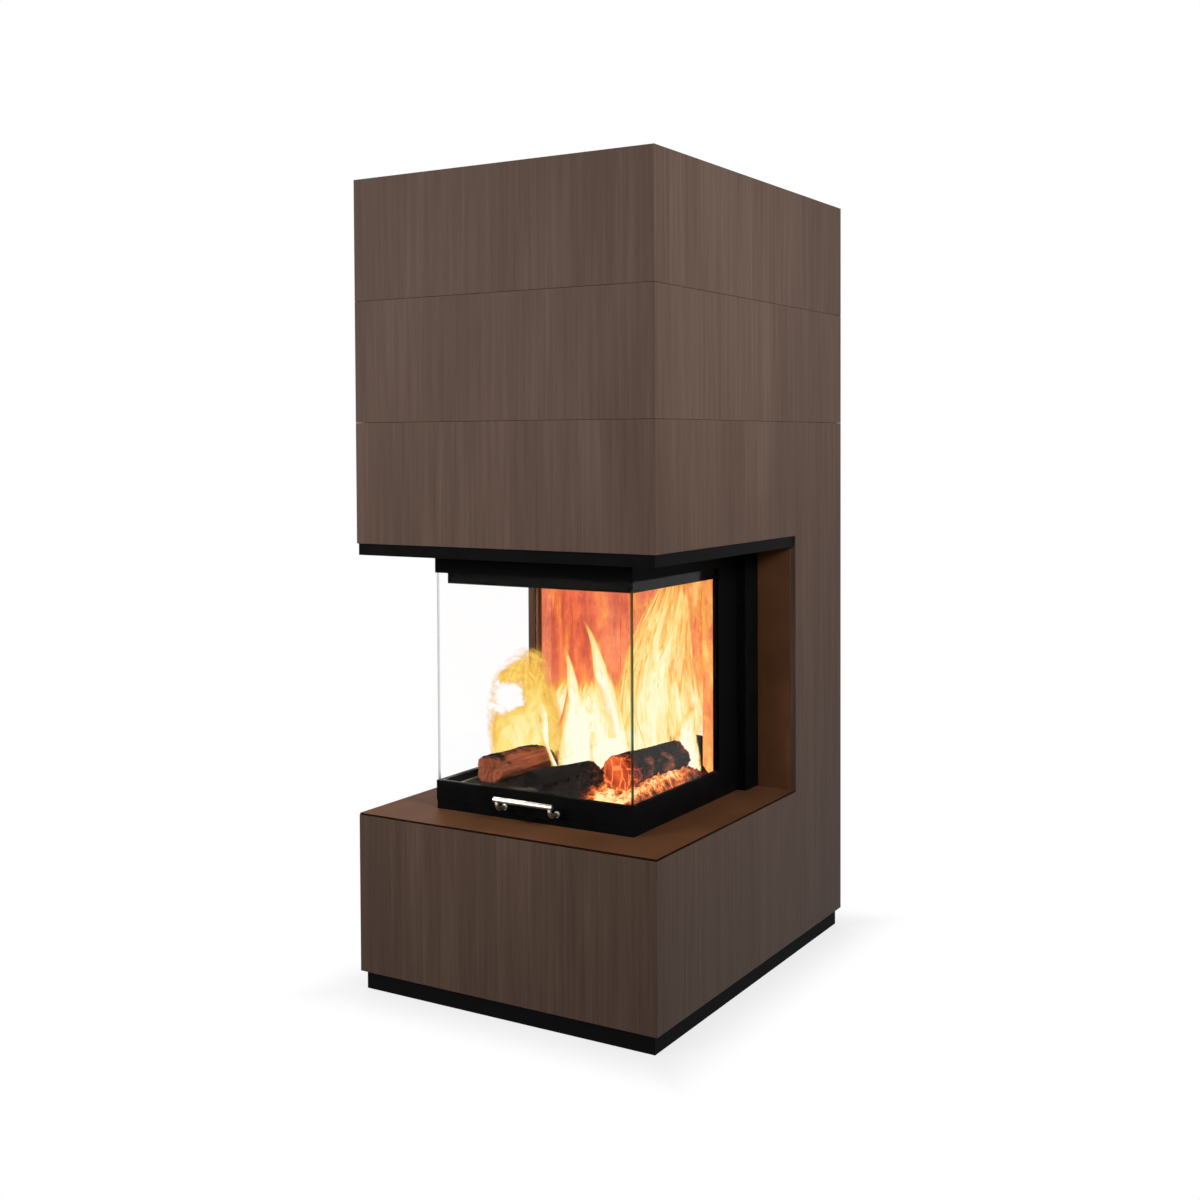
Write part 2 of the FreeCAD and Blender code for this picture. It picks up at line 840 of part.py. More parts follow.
def make_flue():
    """Flanged flue pipe with a socket for the chimney connector at its top."""
    body = new_piece("flue_pipe")
    shoulder = "flue_top - socket_length"
    profile = [
        ("flue_radius", "dome_top"),
        ("flue_outside + flue_flange", "dome_top"),
        ("flue_outside + flue_flange", "dome_top + flue_wall"),
        ("flue_radius + flue_wall", "dome_top + flue_wall"),
        ("flue_radius + flue_wall", f"{shoulder} - flue_wall"),
        ("flue_outside", f"{shoulder} - flue_wall"),
        ("flue_outside", "flue_top"),
        ("socket_radius", "flue_top"),
        ("socket_radius", shoulder),
        ("flue_radius", shoulder),
    ]
    revolve(body, "XZ", "0", "V_Axis", FULL_TURN, profile)
    place(body, "0", "flue_axis", "0")


def make_linings():
    """Heat-resistant bricks on the floor, back and sides of the chamber, and the baffle."""
    joint = "lining_joint / 2"
    floor_half = "(firebox_inside - floor_clearance)"
    body = new_piece("floor_lining")
    pad(body, "XY", "deck_top", "floor_top", rectangle(f"-{floor_half}", "canopy_front", floor_half, "lining_face"))
    for side in SIDES:
        seam = beside(side, f"{floor_half} / 3")
        outline = rectangle(
            f"{seam} - {joint}",
            "canopy_front - overrun",
            f"{seam} + {joint}",
            "lining_face + overrun",
        )
        cut(body, "XY", "floor_top - lining_joint", "floor_top + overrun", outline)

    body = new_piece("back_lining")
    outline = rectangle("-firebox_inside", "deck_top", "firebox_inside", "lining_top")
    pad(body, "XZ", "lining_face", "shell_inside", outline)
    for side in SIDES:
        seam = beside(side, "firebox_inside / 3")
        outline = rectangle(
            f"{seam} - {joint}",
            "deck_top - overrun",
            f"{seam} + {joint}",
            "lining_top + overrun",
        )
        cut(body, "XZ", "lining_face - overrun", "lining_face + lining_joint", outline)

    for side in SIDES:
        body = new_piece(f"side_lining_{side}")
        outline = rectangle("shell_front", "floor_top", "lining_face", "lining_top")
        pad(body, "YZ", *stretch(side, "firebox_inside - lining_gauge", "firebox_inside"), outline)

    body = new_piece("baffle_plate")
    outline = rectangle(
        "-firebox_inside + floor_clearance",
        "canopy_front + baffle_setback",
        "firebox_inside - floor_clearance",
        "shell_inside",
    )
    pad(body, "XY", "lining_top", "lining_top + baffle_gauge", outline)
    soften(body, "Chamfer", "ledge_gauge", on_plane("y", "canopy_front + baffle_setback"))


# Combustion air


def make_duct():
    """Flanged pipe that brings outside air from the back of the casing to the air box."""
    body = new_piece("air_duct")
    bore = disc("0", "duct_height", "duct_radius")
    pad(body, "XZ", "shell_back", "back_face", disc("0", "duct_height", "duct_radius + duct_wall"), bore)
    flange = disc("0", "duct_height", "duct_radius + duct_flange")
    pad(body, "XZ", "shell_back", "shell_back + duct_wall", flange, bore)


def make_slide():
    """Air slide under the deck, with ports and the tab that moves it."""
    body = new_piece("air_slide")
    half = "slide_width / 2"
    tab = "slide_tab_width / 2"
    tip = "base_front - slide_tab_reach"
    outline = [
        (f"-({half})", "slide_back"),
        (f"-({half})", "slide_front"),
        (f"-({tab})", "slide_front"),
        (f"-({tab})", tip),
        (tab, tip),
        (tab, "slide_front"),
        (half, "slide_front"),
        (half, "slide_back"),
    ]
    pad(body, "XY", "slide_bottom", "slide_top", outline)
    port_half = "slide_port_width / 2"
    for shift in ("-slide_travel", "slide_travel"):
        port = rectangle(
            f"{shift} - {port_half}",
            "(slide_front + slide_back - slide_port_depth) / 2",
            f"{shift} + {port_half}",
            "(slide_front + slide_back + slide_port_depth) / 2",
        )
        cut(body, "XY", "slide_bottom - overrun", "slide_top + overrun", port)

    def tab_corner(edge, middle):
        upright = abs(edge.Vertexes[0].X - edge.Vertexes[-1].X) < SAME_LENGTH and abs(
            edge.Vertexes[0].Y - edge.Vertexes[-1].Y
        ) < SAME_LENGTH
        return upright and abs(middle.y - value(tip)) < SAME_LENGTH

    soften(body, "Fillet", "slide_gauge", tab_corner)


# Lift door


def rail_slot(back):
    """Plan of the slot that holds the three panes in a rail."""
    outside = "door_half - rail_lip"
    front = "door_front + rail_lip"
    return u_outline(outside, front, f"{outside} - slot_width", f"{front} + slot_width", back)


def make_rails():
    """Bottom and top rails that run round the three glazed sides of the door."""
    outline = u_outline("door_half", "door_front", "door_inside", "rail_back", "stile_front")
    slot = rail_slot("stile_front + overrun")
    body = new_piece("door_bottom_rail")
    pad(body, "XY", "door_bottom", "bottom_rail_top", outline)
    cut(body, "XY", "glass_bottom", "bottom_rail_top + overrun", slot)
    body = new_piece("door_top_rail")
    pad(body, "XY", "top_rail_bottom", "door_top", outline)
    cut(body, "XY", "top_rail_bottom - overrun", "top_rail_bottom + glass_bite", slot)


def make_glass():
    """Ceramic panes, butted at the front corners with no post between them."""
    body = new_piece("front_glass")
    outline = rectangle("-glass_outside", "glass_bottom", "glass_outside", "glass_top")
    pad(body, "XZ", "glass_front", "glass_back", outline)
    for side in SIDES:
        body = new_piece(f"{side}_glass")
        back = "stile_front + glass_bite - glass_play"
        outline = rectangle("glass_back + glass_play", "glass_bottom", back, "glass_top")
        pad(body, "YZ", *stretch(side, "glass_outside - glass_gauge", "glass_outside"), outline)


def make_stiles():
    """Rear stiles of the door, with roller pins and the ferrules of the ropes."""
    for side in SIDES:
        body = new_piece(f"door_stile_{side}")
        outline = rectangle("stile_front", "door_bottom", "stile_back", "door_top")
        pad(body, "YZ", *stretch(side, "door_inside", "door_half"), outline)
        slot_outside = "door_half - rail_lip"
        slot = rectangle(
            beside(side, slot_outside),
            "glass_bottom",
            beside(side, f"{slot_outside} - slot_width"),
            "top_rail_bottom + glass_bite",
        )
        cut(body, "XZ", "stile_front - overrun", "stile_front + glass_bite", slot)
        pins = [disc("roller_axis", height, "pin_radius") for height in ("lower_roller", "upper_roller")]
        pad(body, "YZ", *stretch(side, "door_half", "roller_middle + roller_hub_width / 2"), *pins)
        ferrule = disc(beside(side, "rope_plane"), "roller_axis", "ferrule_radius")
        pad(body, "XY", "door_top", "rope_start", ferrule)


def make_handle():
    """Steel bar on two bent legs, screwed to the bottom rail."""
    body = new_piece("door_handle")
    bar_along = "door_front - handle_reach"
    bar_up = "door_bottom + handle_lift"
    foot_up = f"{bar_up} - handle_drop"
    ends = ("-handle_length / 2", "handle_length / 2")
    pad(body, "YZ", *ends, disc(bar_along, bar_up, "handle_radius"))
    for side in SIDES:
        across = beside(side, "handle_leg_spacing / 2")
        path = draw(body, "YZ", across)
        draw_bend(path, bar_along, bar_up, "door_front", foot_up, "handle_bend")
        section = draw(body, "XY", bar_up, disc(across, bar_along, "handle_leg_radius"))
        leg = body.newObject("PartDesign::AdditivePipe", "door_handle_leg")
        leg.Profile = section
        leg.Spine = (path, ["Edge1", "Edge2", "Edge3"])
        document.recompute()
        flange = disc(across, foot_up, "handle_flange_radius")
        pad(body, "XZ", "door_front - handle_flange_gauge", "door_front", flange)


def draw_bend(sketch, start_across, start_up, end_across, end_up, radius):
    """Upright run, quarter bend and level run, tangent to each other."""
    start = FreeCAD.Vector(value(start_across), value(start_up), 0)
    end = FreeCAD.Vector(value(end_across), value(end_up), 0)
    bend = value(radius)
    centre = FreeCAD.Vector(start.x + bend, end.y + bend, 0)
    upright_end = FreeCAD.Vector(start.x, centre.y, 0)
    level_start = FreeCAD.Vector(centre.x, end.y, 0)
    circle = Part.Circle(centre, FreeCAD.Vector(0, 0, 1), bend)
    quarter = Part.ArcOfCircle(circle, circle.parameter(upright_end), circle.parameter(level_start))
    upright = sketch.addGeometry(Part.LineSegment(start, upright_end))
    arc = sketch.addGeometry(quarter)
    level = sketch.addGeometry(Part.LineSegment(level_start, end))
    tie_point(sketch, upright, 1, start_across, start_up)
    tie_point(sketch, level, 2, end_across, end_up)
    sketch.addConstraint(Sketcher.Constraint("Vertical", upright))
    sketch.addConstraint(Sketcher.Constraint("Horizontal", level))
    sketch.addConstraint(Sketcher.Constraint("Tangent", upright, 2, arc, 1))
    sketch.addConstraint(Sketcher.Constraint("Tangent", arc, 2, level, 1))
    constraint = Sketcher.Constraint("Radius", arc, bend)
    bind(sketch, f"Constraints[{sketch.addConstraint(constraint)}]", radius)


def make_rollers():
    """Flanged guide rollers that turn on the pins of the stiles."""
    half = "roller_width / 2"
    hub = "roller_hub_width / 2"
    bore = "pin_radius + pin_play"
    profile = [
        (f"-({hub})", bore),
        (hub, bore),
        (hub, "roller_hub_radius"),
        (half, "roller_hub_radius"),
        (half, "roller_radius - roller_edge"),
        (f"{half} - roller_edge", "roller_radius"),
        (f"roller_edge - {half}", "roller_radius"),
        (f"-({half})", "roller_radius - roller_edge"),
        (f"-({half})", "roller_hub_radius"),
        (f"-({hub})", "roller_hub_radius"),
    ]
    for side in SIDES:
        for level in ("lower", "upper"):
            body = new_piece(f"{level}_roller_{side}")
            revolve(body, "XY", "0", "H_Axis", FULL_TURN, profile)
            place(body, beside(side, "roller_middle"), "roller_axis", f"{level}_roller")


def make_guides():
    """Folded guide channels whose webs end in ears for the lift shaft."""
    ear_back = "pulley_axis + ear_margin"
    ear_bottom = "pulley_height - ear_margin"
    web = [
        ("guide_front", "shelf_top"),
        ("niche_back", "shelf_top"),
        ("niche_back", f"{ear_bottom} - ear_slope"),
        (ear_back, ear_bottom),
        (ear_back, "pulley_height + ear_margin"),
        ("guide_front", "pulley_height + ear_margin"),
    ]
    for side in SIDES:
        body = new_piece(f"guide_rail_{side}")
        inner_face = "guide_outside - guide_gauge"
        pad(body, "YZ", *stretch(side, inner_face, "guide_outside"), web)
        front_flange = rectangle("guide_front", "shelf_top", "guide_front + guide_gauge", "guide_top")
        back_flange = rectangle("niche_back - guide_gauge", "shelf_top", "niche_back", "guide_top")
        pad(body, "YZ", *stretch(side, "guide_inside", inner_face), front_flange, back_flange)
        hole = disc("pulley_axis", "pulley_height", "shaft_radius + shaft_play")
        cut(body, "YZ", *stretch(side, f"{inner_face} - overrun", "guide_outside + overrun"), hole)


# Counterbalance


def make_shaft():
    """Shaft that joins both pulleys, so that the door cannot rack."""
    body = new_piece("lift_shaft")
    end = "guide_outside + shaft_stub"
    pad(body, "YZ", f"-({end})", end, disc("pulley_axis", "pulley_height", "shaft_radius"))
    soften(body, "Chamfer", "slab_arris", lambda edge, middle: edge.Closed)


def make_pulleys():
    """Grooved rope pulleys with a hub, a thin web and lightening holes."""
    half = "pulley_width / 2"
    web = "pulley_web / 2"
    groove_bottom = "pulley_pitch - rope_radius - rope_clearance"
    rim_inside = f"{groove_bottom} - pulley_rim"
    rim_outside = "pulley_pitch + pulley_edge"
    profile = [
        (f"-({half})", "shaft_radius"),
        (half, "shaft_radius"),
        (half, "pulley_hub_radius"),
        (web, "pulley_hub_radius"),
        (web, rim_inside),
        (half, rim_inside),
        (half, rim_outside),
        ("groove_half + groove_flare", rim_outside),
        ("groove_half", groove_bottom),
        ("-groove_half", groove_bottom),
        ("-groove_half - groove_flare", rim_outside),
        (f"-({half})", rim_outside),
        (f"-({half})", rim_inside),
        (f"-({web})", rim_inside),
        (f"-({web})", "pulley_hub_radius"),
        (f"-({half})", "pulley_hub_radius"),
    ]
    hole_circle = f"(pulley_hub_radius + {rim_inside}) / 2"
    for side in SIDES:
        body = new_piece(f"pulley_{side}")
        revolve(body, "XY", "0", "H_Axis", FULL_TURN, profile)
        hole = disc(hole_circle, "0", "pulley_hole_radius")
        first = cut(body, "YZ", f"-({half})", half, hole)
        pattern = body.newObject("PartDesign::PolarPattern", f"{body.Label}_holes")
        pattern.Originals = [first]
        pattern.Axis = (first.Profile[0], ["N_Axis"])
        pattern.Angle = FULL_TURN
        bind(pattern, "Occurrences", "pulley_hole_count")
        body.Tip = pattern
        place(body, beside(side, "rope_plane"), "pulley_axis", "pulley_height")


def make_weights():
    """Cast counterweights that hang behind the firebox."""
    for side in SIDES:
        body = new_piece(f"counterweight_{side}")
        middle = beside(side, "rope_plane")
        outline = rectangle(
            f"{middle} - weight_width / 2",
            "rope_back - weight_depth / 2",
            f"{middle} + weight_width / 2",
            "rope_back + weight_depth / 2",
        )
        neck = "weight_top - ferrule_height"
        pad(body, "XY", f"{neck} - weight_length", neck, outline)
        soften(body, "Chamfer", "weight_edge", lambda edge, point: True)
        pad(body, "XY", neck, "weight_top", disc(middle, "rope_back", "ferrule_radius"))


def make_ropes():
    """Wire ropes: straight runs to the door and the weights, and half turns over the pulleys."""
    for label, along, bottom in (
        ("rope_door_runs", "roller_axis", "rope_start"),
        ("rope_weight_runs", "rope_back", "weight_top"),
    ):
        body = new_piece(label)
        body.AllowCompound = True
        runs = [disc(beside(side, "rope_plane"), along, "rope_radius") for side in SIDES]
        pad(body, "XY", bottom, "pulley_height", *runs)
    body = new_piece("rope_wraps")
    body.AllowCompound = True
    sections = [disc(beside(side, "rope_plane"), "pulley_pitch", "rope_radius") for side in SIDES]
    revolve(body, "XY", "0", "H_Axis", HALF_TURN, *sections)
    place(body, "0", "pulley_axis", "pulley_height")


# Fuel


def make_logs():
    """Split logs on the floor lining, each a taper between two seven-sided sections."""
    starts = {
        name: (f"{share} * firebox_half", f"log_{name}_front")
        for name, share in LOG_ACROSS_SHARES.items()
    }
    starts["rear"] = ("log_rear_start", "log_rear_back")
    for name, (across, back) in starts.items():
        log = f"log_{name}"
        body = new_piece(log)

        def section(scale):
            return [
                (f"{aside * scale} * {log}_width", f"{up * scale} * {log}_height")
                for aside, up in LOG_SECTION_SHARES
            ]

        near = draw(body, "YZ", "0", section(1))
        far = draw(body, "YZ", f"{log}_length", section(LOG_TAPER_SHARE))
        loft(body, "Additive", near, far)
        upright = FreeCAD.Vector(0, 0, 1)
        body.Placement = FreeCAD.Placement(FreeCAD.Vector(), FreeCAD.Rotation(upright, value(f"{log}_angle")))
        bind(body, "Placement.Rotation.Angle", f"{log}_angle")
        place(body, across, back, "floor_top")


def check_document():
    """Stops if an object of the document failed or a piece has no sound shape."""
    for item in document.Objects:
        if "Invalid" in item.State or "Error" in item.State:
            raise RuntimeError(f"{item.Label} failed: {item.State}")
    for body in pieces:
        if body.Shape.isNull() or not body.Shape.isValid() or not body.Shape.Solids:
            raise RuntimeError(f"{body.Label} has no sound shape")


def write_pieces():
    """Writes each piece to a file named by its label."""
    os.makedirs("parts", exist_ok=True)
    for body in pieces:
        body.Shape.exportStep(f"parts/{body.Label}.step")


def main():
    """Builds every piece in order and writes it."""
    fill_sheet()
    fill_places()
    for make in (
        make_plinth,
        make_boards,
        make_side_slabs,
        make_front_slabs,
        make_shelf,
        make_niche_panels,
        make_soffit,
        make_cover,
        make_rear_panel,
        make_legs,
        make_base,
        make_seal,
        make_shell,
        make_dome,
        make_flue,
        make_linings,
        make_duct,
        make_slide,
        make_rails,
        make_glass,
        make_stiles,
        make_handle,
        make_rollers,
        make_guides,
        make_shaft,
        make_pulleys,
        make_weights,
        make_ropes,
        make_logs,
    ):
        make()
    document.recompute()
    check_document()
    write_pieces()


main()
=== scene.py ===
"""Looks of a three-sided wood fireplace with a lift door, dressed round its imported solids.

Metres. +Z is up, +X is to the right seen from the front and +Y runs to the back.
"""

import json
import math
from collections import namedtuple

import bmesh
import bpy
import numpy as np
from mathutils import Matrix, Vector


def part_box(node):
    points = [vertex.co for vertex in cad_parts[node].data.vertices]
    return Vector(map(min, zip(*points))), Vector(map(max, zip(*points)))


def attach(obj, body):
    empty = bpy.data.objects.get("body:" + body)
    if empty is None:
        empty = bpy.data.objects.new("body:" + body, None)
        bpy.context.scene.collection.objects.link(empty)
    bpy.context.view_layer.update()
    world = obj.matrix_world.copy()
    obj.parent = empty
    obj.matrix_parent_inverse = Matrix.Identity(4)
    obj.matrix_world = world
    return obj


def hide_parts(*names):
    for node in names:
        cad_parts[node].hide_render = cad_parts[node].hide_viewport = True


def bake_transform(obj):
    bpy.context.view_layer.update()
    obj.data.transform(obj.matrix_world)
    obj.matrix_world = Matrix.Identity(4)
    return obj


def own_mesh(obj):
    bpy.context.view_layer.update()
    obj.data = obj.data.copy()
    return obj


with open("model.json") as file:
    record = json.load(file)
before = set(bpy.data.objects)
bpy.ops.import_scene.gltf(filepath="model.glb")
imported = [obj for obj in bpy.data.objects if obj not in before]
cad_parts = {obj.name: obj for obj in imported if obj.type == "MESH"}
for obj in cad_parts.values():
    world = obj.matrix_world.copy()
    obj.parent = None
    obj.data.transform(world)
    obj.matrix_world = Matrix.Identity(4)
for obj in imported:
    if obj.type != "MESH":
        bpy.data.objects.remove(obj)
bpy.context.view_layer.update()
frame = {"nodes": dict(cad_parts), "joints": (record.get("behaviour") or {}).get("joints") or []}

bl_info = {
    "name": "Three-sided fireplace",
    "version": (1, 0, 0),
    "blender": (4, 5, 0),
    "location": "3D View > Sidebar > Fireplace",
    "description": "Finishes, fire and stage of a three-sided lift-door fireplace",
    "category": "Object",
}

ROOT = "root"
TURN = 2 * math.pi

# Nodes that share a finish
CLADDING = [name for name in frame["nodes"] if name.startswith("slab_")]
BACKING = [name for name in frame["nodes"] if name.startswith("board_")] + ["rear_panel", "top_cover"]
BROWN_SHEET = ("hearth_shelf", "niche_panel_left", "niche_panel_right")
BLACK_STEEL = (
    "hood_soffit", "firebox_base", "smoke_dome", "insert_legs", "air_slide",
    "door_bottom_rail", "door_top_rail", "guide_rail_left", "guide_rail_right",
)
# Black paint with painted firelight on the left stile's front edge
FIRELIT_STEEL = ("door_stile_left", "door_stile_right", "firebox_shell")
BRIGHT_STEEL = ["door_handle", "lift_shaft"] + [name for name in frame["nodes"] if "_roller_" in name]
FLUE_STEEL = ("flue_pipe", "air_duct")
PLAIN_LINING = ("floor_lining", "baffle_plate")
# Bricks round the fire, with painted firelight
LIT_LINING = ("back_lining", "side_lining_left", "side_lining_right")
PANES = ("front_glass", "left_glass", "right_glass")
CAST_IRON = ("pulley_left", "pulley_right", "counterweight_left", "counterweight_right")


# Shader helpers


class Wire:
    """A shader value. Sums and products of wires and numbers add Math nodes."""

    def __init__(self, nodes, socket):
        self.nodes = nodes
        self.socket = socket

    def math(self, operation, *terms):
        return self.nodes.node("ShaderNodeMath", {"operation": operation}, dict(enumerate(terms)))

    def __add__(self, other):
        return self.math("ADD", self, other)

    def __sub__(self, other):
        return self.math("SUBTRACT", self, other)

    def __rsub__(self, other):
        return self.math("SUBTRACT", other, self)

    def __mul__(self, other):
        return self.math("MULTIPLY", self, other)

    def __truediv__(self, other):
        return self.math("DIVIDE", self, other)

    def __pow__(self, other):
        return self.math("POWER", self, other)

    def __abs__(self):
        return self.math("ABSOLUTE", self)

    __radd__ = __add__
    __rmul__ = __mul__

    def floor(self):
        return self.math("FLOOR", self)

    def larger(self, other):
        return self.math("MAXIMUM", self, other)

    def step(self, low, high):
        """Smooth step: 0 below low, 1 above high; low may be the larger one."""
        settings = {"interpolation_type": "SMOOTHSTEP"}
        return self.nodes.node("ShaderNodeMapRange", settings, {0: self, 1: low, 2: high})


class Nodes:
    """A node tree, filled node by node."""

    def __init__(self, tree):
        self.tree = tree

    def node(self, kind, settings=None, sockets=None, output=0):
        """Adds a node: first its settings, then the values or links of its sockets. Gives one output."""
        made = self.tree.nodes.new(kind)
        for name, setting in (settings or {}).items():
            if name == "stops":
                self.set_stops(made.color_ramp, setting)
            else:
                setattr(made, name, setting)
        self.feed(made, sockets or {})
        return Wire(self, made.outputs[output])

    def feed(self, node, sockets):
        """Links wires to a node's sockets and sets the others to plain values."""
        for name, value in sockets.items():
            socket = node.inputs[name]
            if isinstance(value, Wire):
                self.tree.links.new(value.socket, socket)
            elif socket.type == "RGBA":
                socket.default_value = (*value, 1)
            else:
                socket.default_value = value

    @staticmethod
    def set_stops(ramp, stops):
        while len(ramp.elements) < len(stops):
            ramp.elements.new(1)
        for element, (position, colour) in zip(ramp.elements, stops):
            element.position = position
            element.color = (*colour, 1)

    def place(self):
        """Object coordinates, in metres."""
        return self.node("ShaderNodeTexCoord", output="Object")

    def across(self):
        """The piece's own UV map as a vector."""
        return self.node("ShaderNodeUVMap", {"uv_map": UV_NAME})

    def part(self, vector, axis):
        return self.node("ShaderNodeSeparateXYZ", None, {0: vector}, axis)

    def vector(self, x, y, z):
        return self.node("ShaderNodeCombineXYZ", None, {0: x, 1: y, 2: z})

    def moved(self, vector, offset):
        return self.node("ShaderNodeVectorMath", {"operation": "ADD"}, {0: vector, 1: offset})

    def stretched(self, vector, scale):
        return self.node("ShaderNodeMapping", None, {"Vector": vector, "Scale": scale})

    def noise(self, vector, scale, detail=3, rough=0.55, warp=0):
        sockets = {"Vector": vector, "Scale": scale, "Detail": detail, "Roughness": rough, "Distortion": warp}
        return self.node("ShaderNodeTexNoise", None, sockets)

    def cells(self, vector, scale, feature="DISTANCE_TO_EDGE"):
        return self.node("ShaderNodeTexVoronoi", {"feature": feature}, {"Vector": vector, "Scale": scale})

    def ramp(self, value, *stops):
        return self.node("ShaderNodeValToRGB", {"stops": stops}, {0: value})

    def shades(self, value, colour, *stops):
        """A ramp of one colour's shades: each stop is a position and a factor."""
        return self.ramp(value, *((position, scaled(colour, factor)) for position, factor in stops))

    def mix(self, share, first, second):
        return self.node("ShaderNodeMix", {"data_type": "RGBA"}, {0: share, 6: first, 7: second}, 2)

    def attribute(self, name):
        return self.node("ShaderNodeAttribute", {"attribute_name": name}, None, "Fac")

    def seen(self):
        """1 for what the camera sees straight, in a mirror or through glass, and 0 for other light."""
        straight, mirrored, through = (
            self.node("ShaderNodeLightPath", None, None, f"Is {kind} Ray")
            for kind in ("Camera", "Glossy", "Transmission")
        )
        return (straight + mirrored + through).step(0, 1)


class Finish(Nodes):
    """A material and its Principled shader, with the values that are the same all over."""

    def __init__(self, name, constants):
        self.material = bpy.data.materials.new(name)
        self.material.use_nodes = True
        super().__init__(self.material.node_tree)
        self.shader = self.tree.nodes["Principled BSDF"]
        self.set(constants)

    def set(self, sockets):
        self.feed(self.shader, sockets)

    def cover(self, colour, roughness):
        self.set({"Base Color": colour, "Roughness": roughness})

    def bump(self, height, strength, distance):
        sockets = {"Height": height, "Strength": strength, "Distance": distance}
        self.set({"Normal": self.node("ShaderNodeBump", None, sockets)})
        return self


def scaled(colour, factor):
    """A colour times a number."""
    return tuple(channel * factor for channel in colour)


def dress(finish, nodes):
    """Gives the finish to each of the nodes."""
    for name in nodes:
        slots = frame["nodes"][name].data.materials
        slots.clear()
        slots.append(finish.material)


# Mesh helpers

UV_NAME = "along"
SAME_POINT = 1e-7


def quads_of(number):
    """Quads that join a grid of numbered corners, facing rows cross columns."""
    return np.stack([number[:-1, :-1], number[1:, :-1], number[1:, 1:], number[:-1, 1:]], -1).reshape(-1, 4)


def grid_piece(name, points, finish, closed_round=False, uv=None, **attributes):
    """Mesh of a grid of points, rows by columns by 3, joined by quads.

    With closed_round the last column meets the first, and the map, if any, has one more column than the
    points. Points that fall together, as at a pole, are merged.
    """
    rows, columns = points.shape[:2]
    number = np.arange(rows * columns).reshape(rows, columns)
    if closed_round:
        number = np.column_stack([number, number[:, :1]])
    mesh = bpy.data.meshes.new(name)
    mesh.from_pydata(points.reshape(-1, 3), [], quads_of(number))
    if uv is not None:
        corners = quads_of(np.arange(uv.shape[0] * uv.shape[1]).reshape(uv.shape[:2])).ravel()
        layer = mesh.uv_layers.new(name=UV_NAME)
        layer.data.foreach_set("uv", uv.reshape(-1, 2)[corners].astype(np.float32).ravel())
    for title, values in attributes.items():
        layer = mesh.attributes.new(title, "FLOAT", "POINT")
        layer.data.foreach_set("value", values.astype(np.float32).ravel())
    merged = bmesh.new()
    merged.from_mesh(mesh)
    bmesh.ops.remove_doubles(merged, verts=merged.verts, dist=SAME_POINT)
    merged.to_mesh(mesh)
    merged.free()
    mesh.shade_smooth()
    mesh.materials.append(finish.material)
    piece = bpy.data.objects.new(name, mesh)
    bpy.context.scene.collection.objects.link(piece)
    return piece


def waves(seed, *arguments, count=9, rise=1.6):
    """Smooth noise of about -1 to 1: a sum of sines of the arguments, each finer and weaker than before."""
    random = np.random.default_rng(seed)
    total = 0
    for step in range(count):
        fineness = rise ** step
        phase = random.uniform(0, TURN)
        turn = random.normal(size=len(arguments))
        angle = phase + fineness * sum(t * a for t, a in zip(turn, arguments))
        total = total + np.sin(angle) / fineness ** 0.7
    return total / 2


def node_points(name):
    """All points of a node's mesh."""
    vertices = frame["nodes"][name].data.vertices
    points = np.empty(len(vertices) * 3)
    vertices.foreach_get("co", points)
    return points.reshape(-1, 3)


# Finishes

BLACK, WHITE = (0, 0, 0), (1, 1, 1)
ROW_SHIFT = (0.37, 0.53, 0.2)  # of the streaks, from one row of slabs to the next
SHELF_SHADE_WIDTH = 0.0008  # width of the painted shade along the shelf's outer edge
PANE_SKIN = 0.0006  # how far a ground edge reaches over a pane's corner
MIDDLE_BLEND = 0.01  # either side of the middle, where left turns to right
FIRELIGHT_DEPTH = 0.010  # of the painted firelight behind the stile's front face
FIRELIGHT_SKIN = (0.0006, 0.0014)  # from the stile's outer side, where the paint stays black
REDDER_LIGHT_REACH = (-0.016, 0.004)  # of the redder painted firelight, from the stile's inner side
# Browns of the painted firelight, and its redder colour towards the fire
FIRELIT_BROWNS = ((0.3, (0.12, 0.095, 0.07)), (0.7, (0.20, 0.16, 0.12)))
REDDER_FIRELIGHT = (0.22, 0.075, 0.032)
RUST = (0.14, 0.05, 0.02)
# Painted firelight on the bricks, from deep red to pale amber
LINING_FIRELIGHT = (
    (0.0, (0.52, 0.055, 0.035)), (0.28, (0.76, 0.12, 0.055)), (0.52, (0.88, 0.30, 0.05)),
    (0.78, (0.98, 0.58, 0.16)), (1.0, (1.0, 0.86, 0.5)),
)
CHARCOAL = ((0.3, (0.004, 0.004, 0.004)), (0.75, (0.020, 0.015, 0.012)))
WOOD_GLOW = (
    (0.05, BLACK), (0.3, (0.16, 0.012, 0.001)), (0.6, (0.66, 0.085, 0.02)), (0.95, (0.96, 0.25, 0.06)),
)
DARK_CRUST = ((0.35, (0.006, 0.005, 0.005)), (0.62, (0.03, 0.022, 0.018)), (0.8, (0.12, 0.10, 0.09)))
PALE_ASH = ((0.35, (0.09, 0.065, 0.05)), (0.7, (0.34, 0.27, 0.22)))
EMBER_GLOW = (
    (0.1, BLACK), (0.35, (0.20, 0.022, 0.004)), (0.62, (0.60, 0.10, 0.015)),
    (0.85, (0.95, 0.34, 0.06)), (1.0, (1.0, 0.74, 0.36)),
)

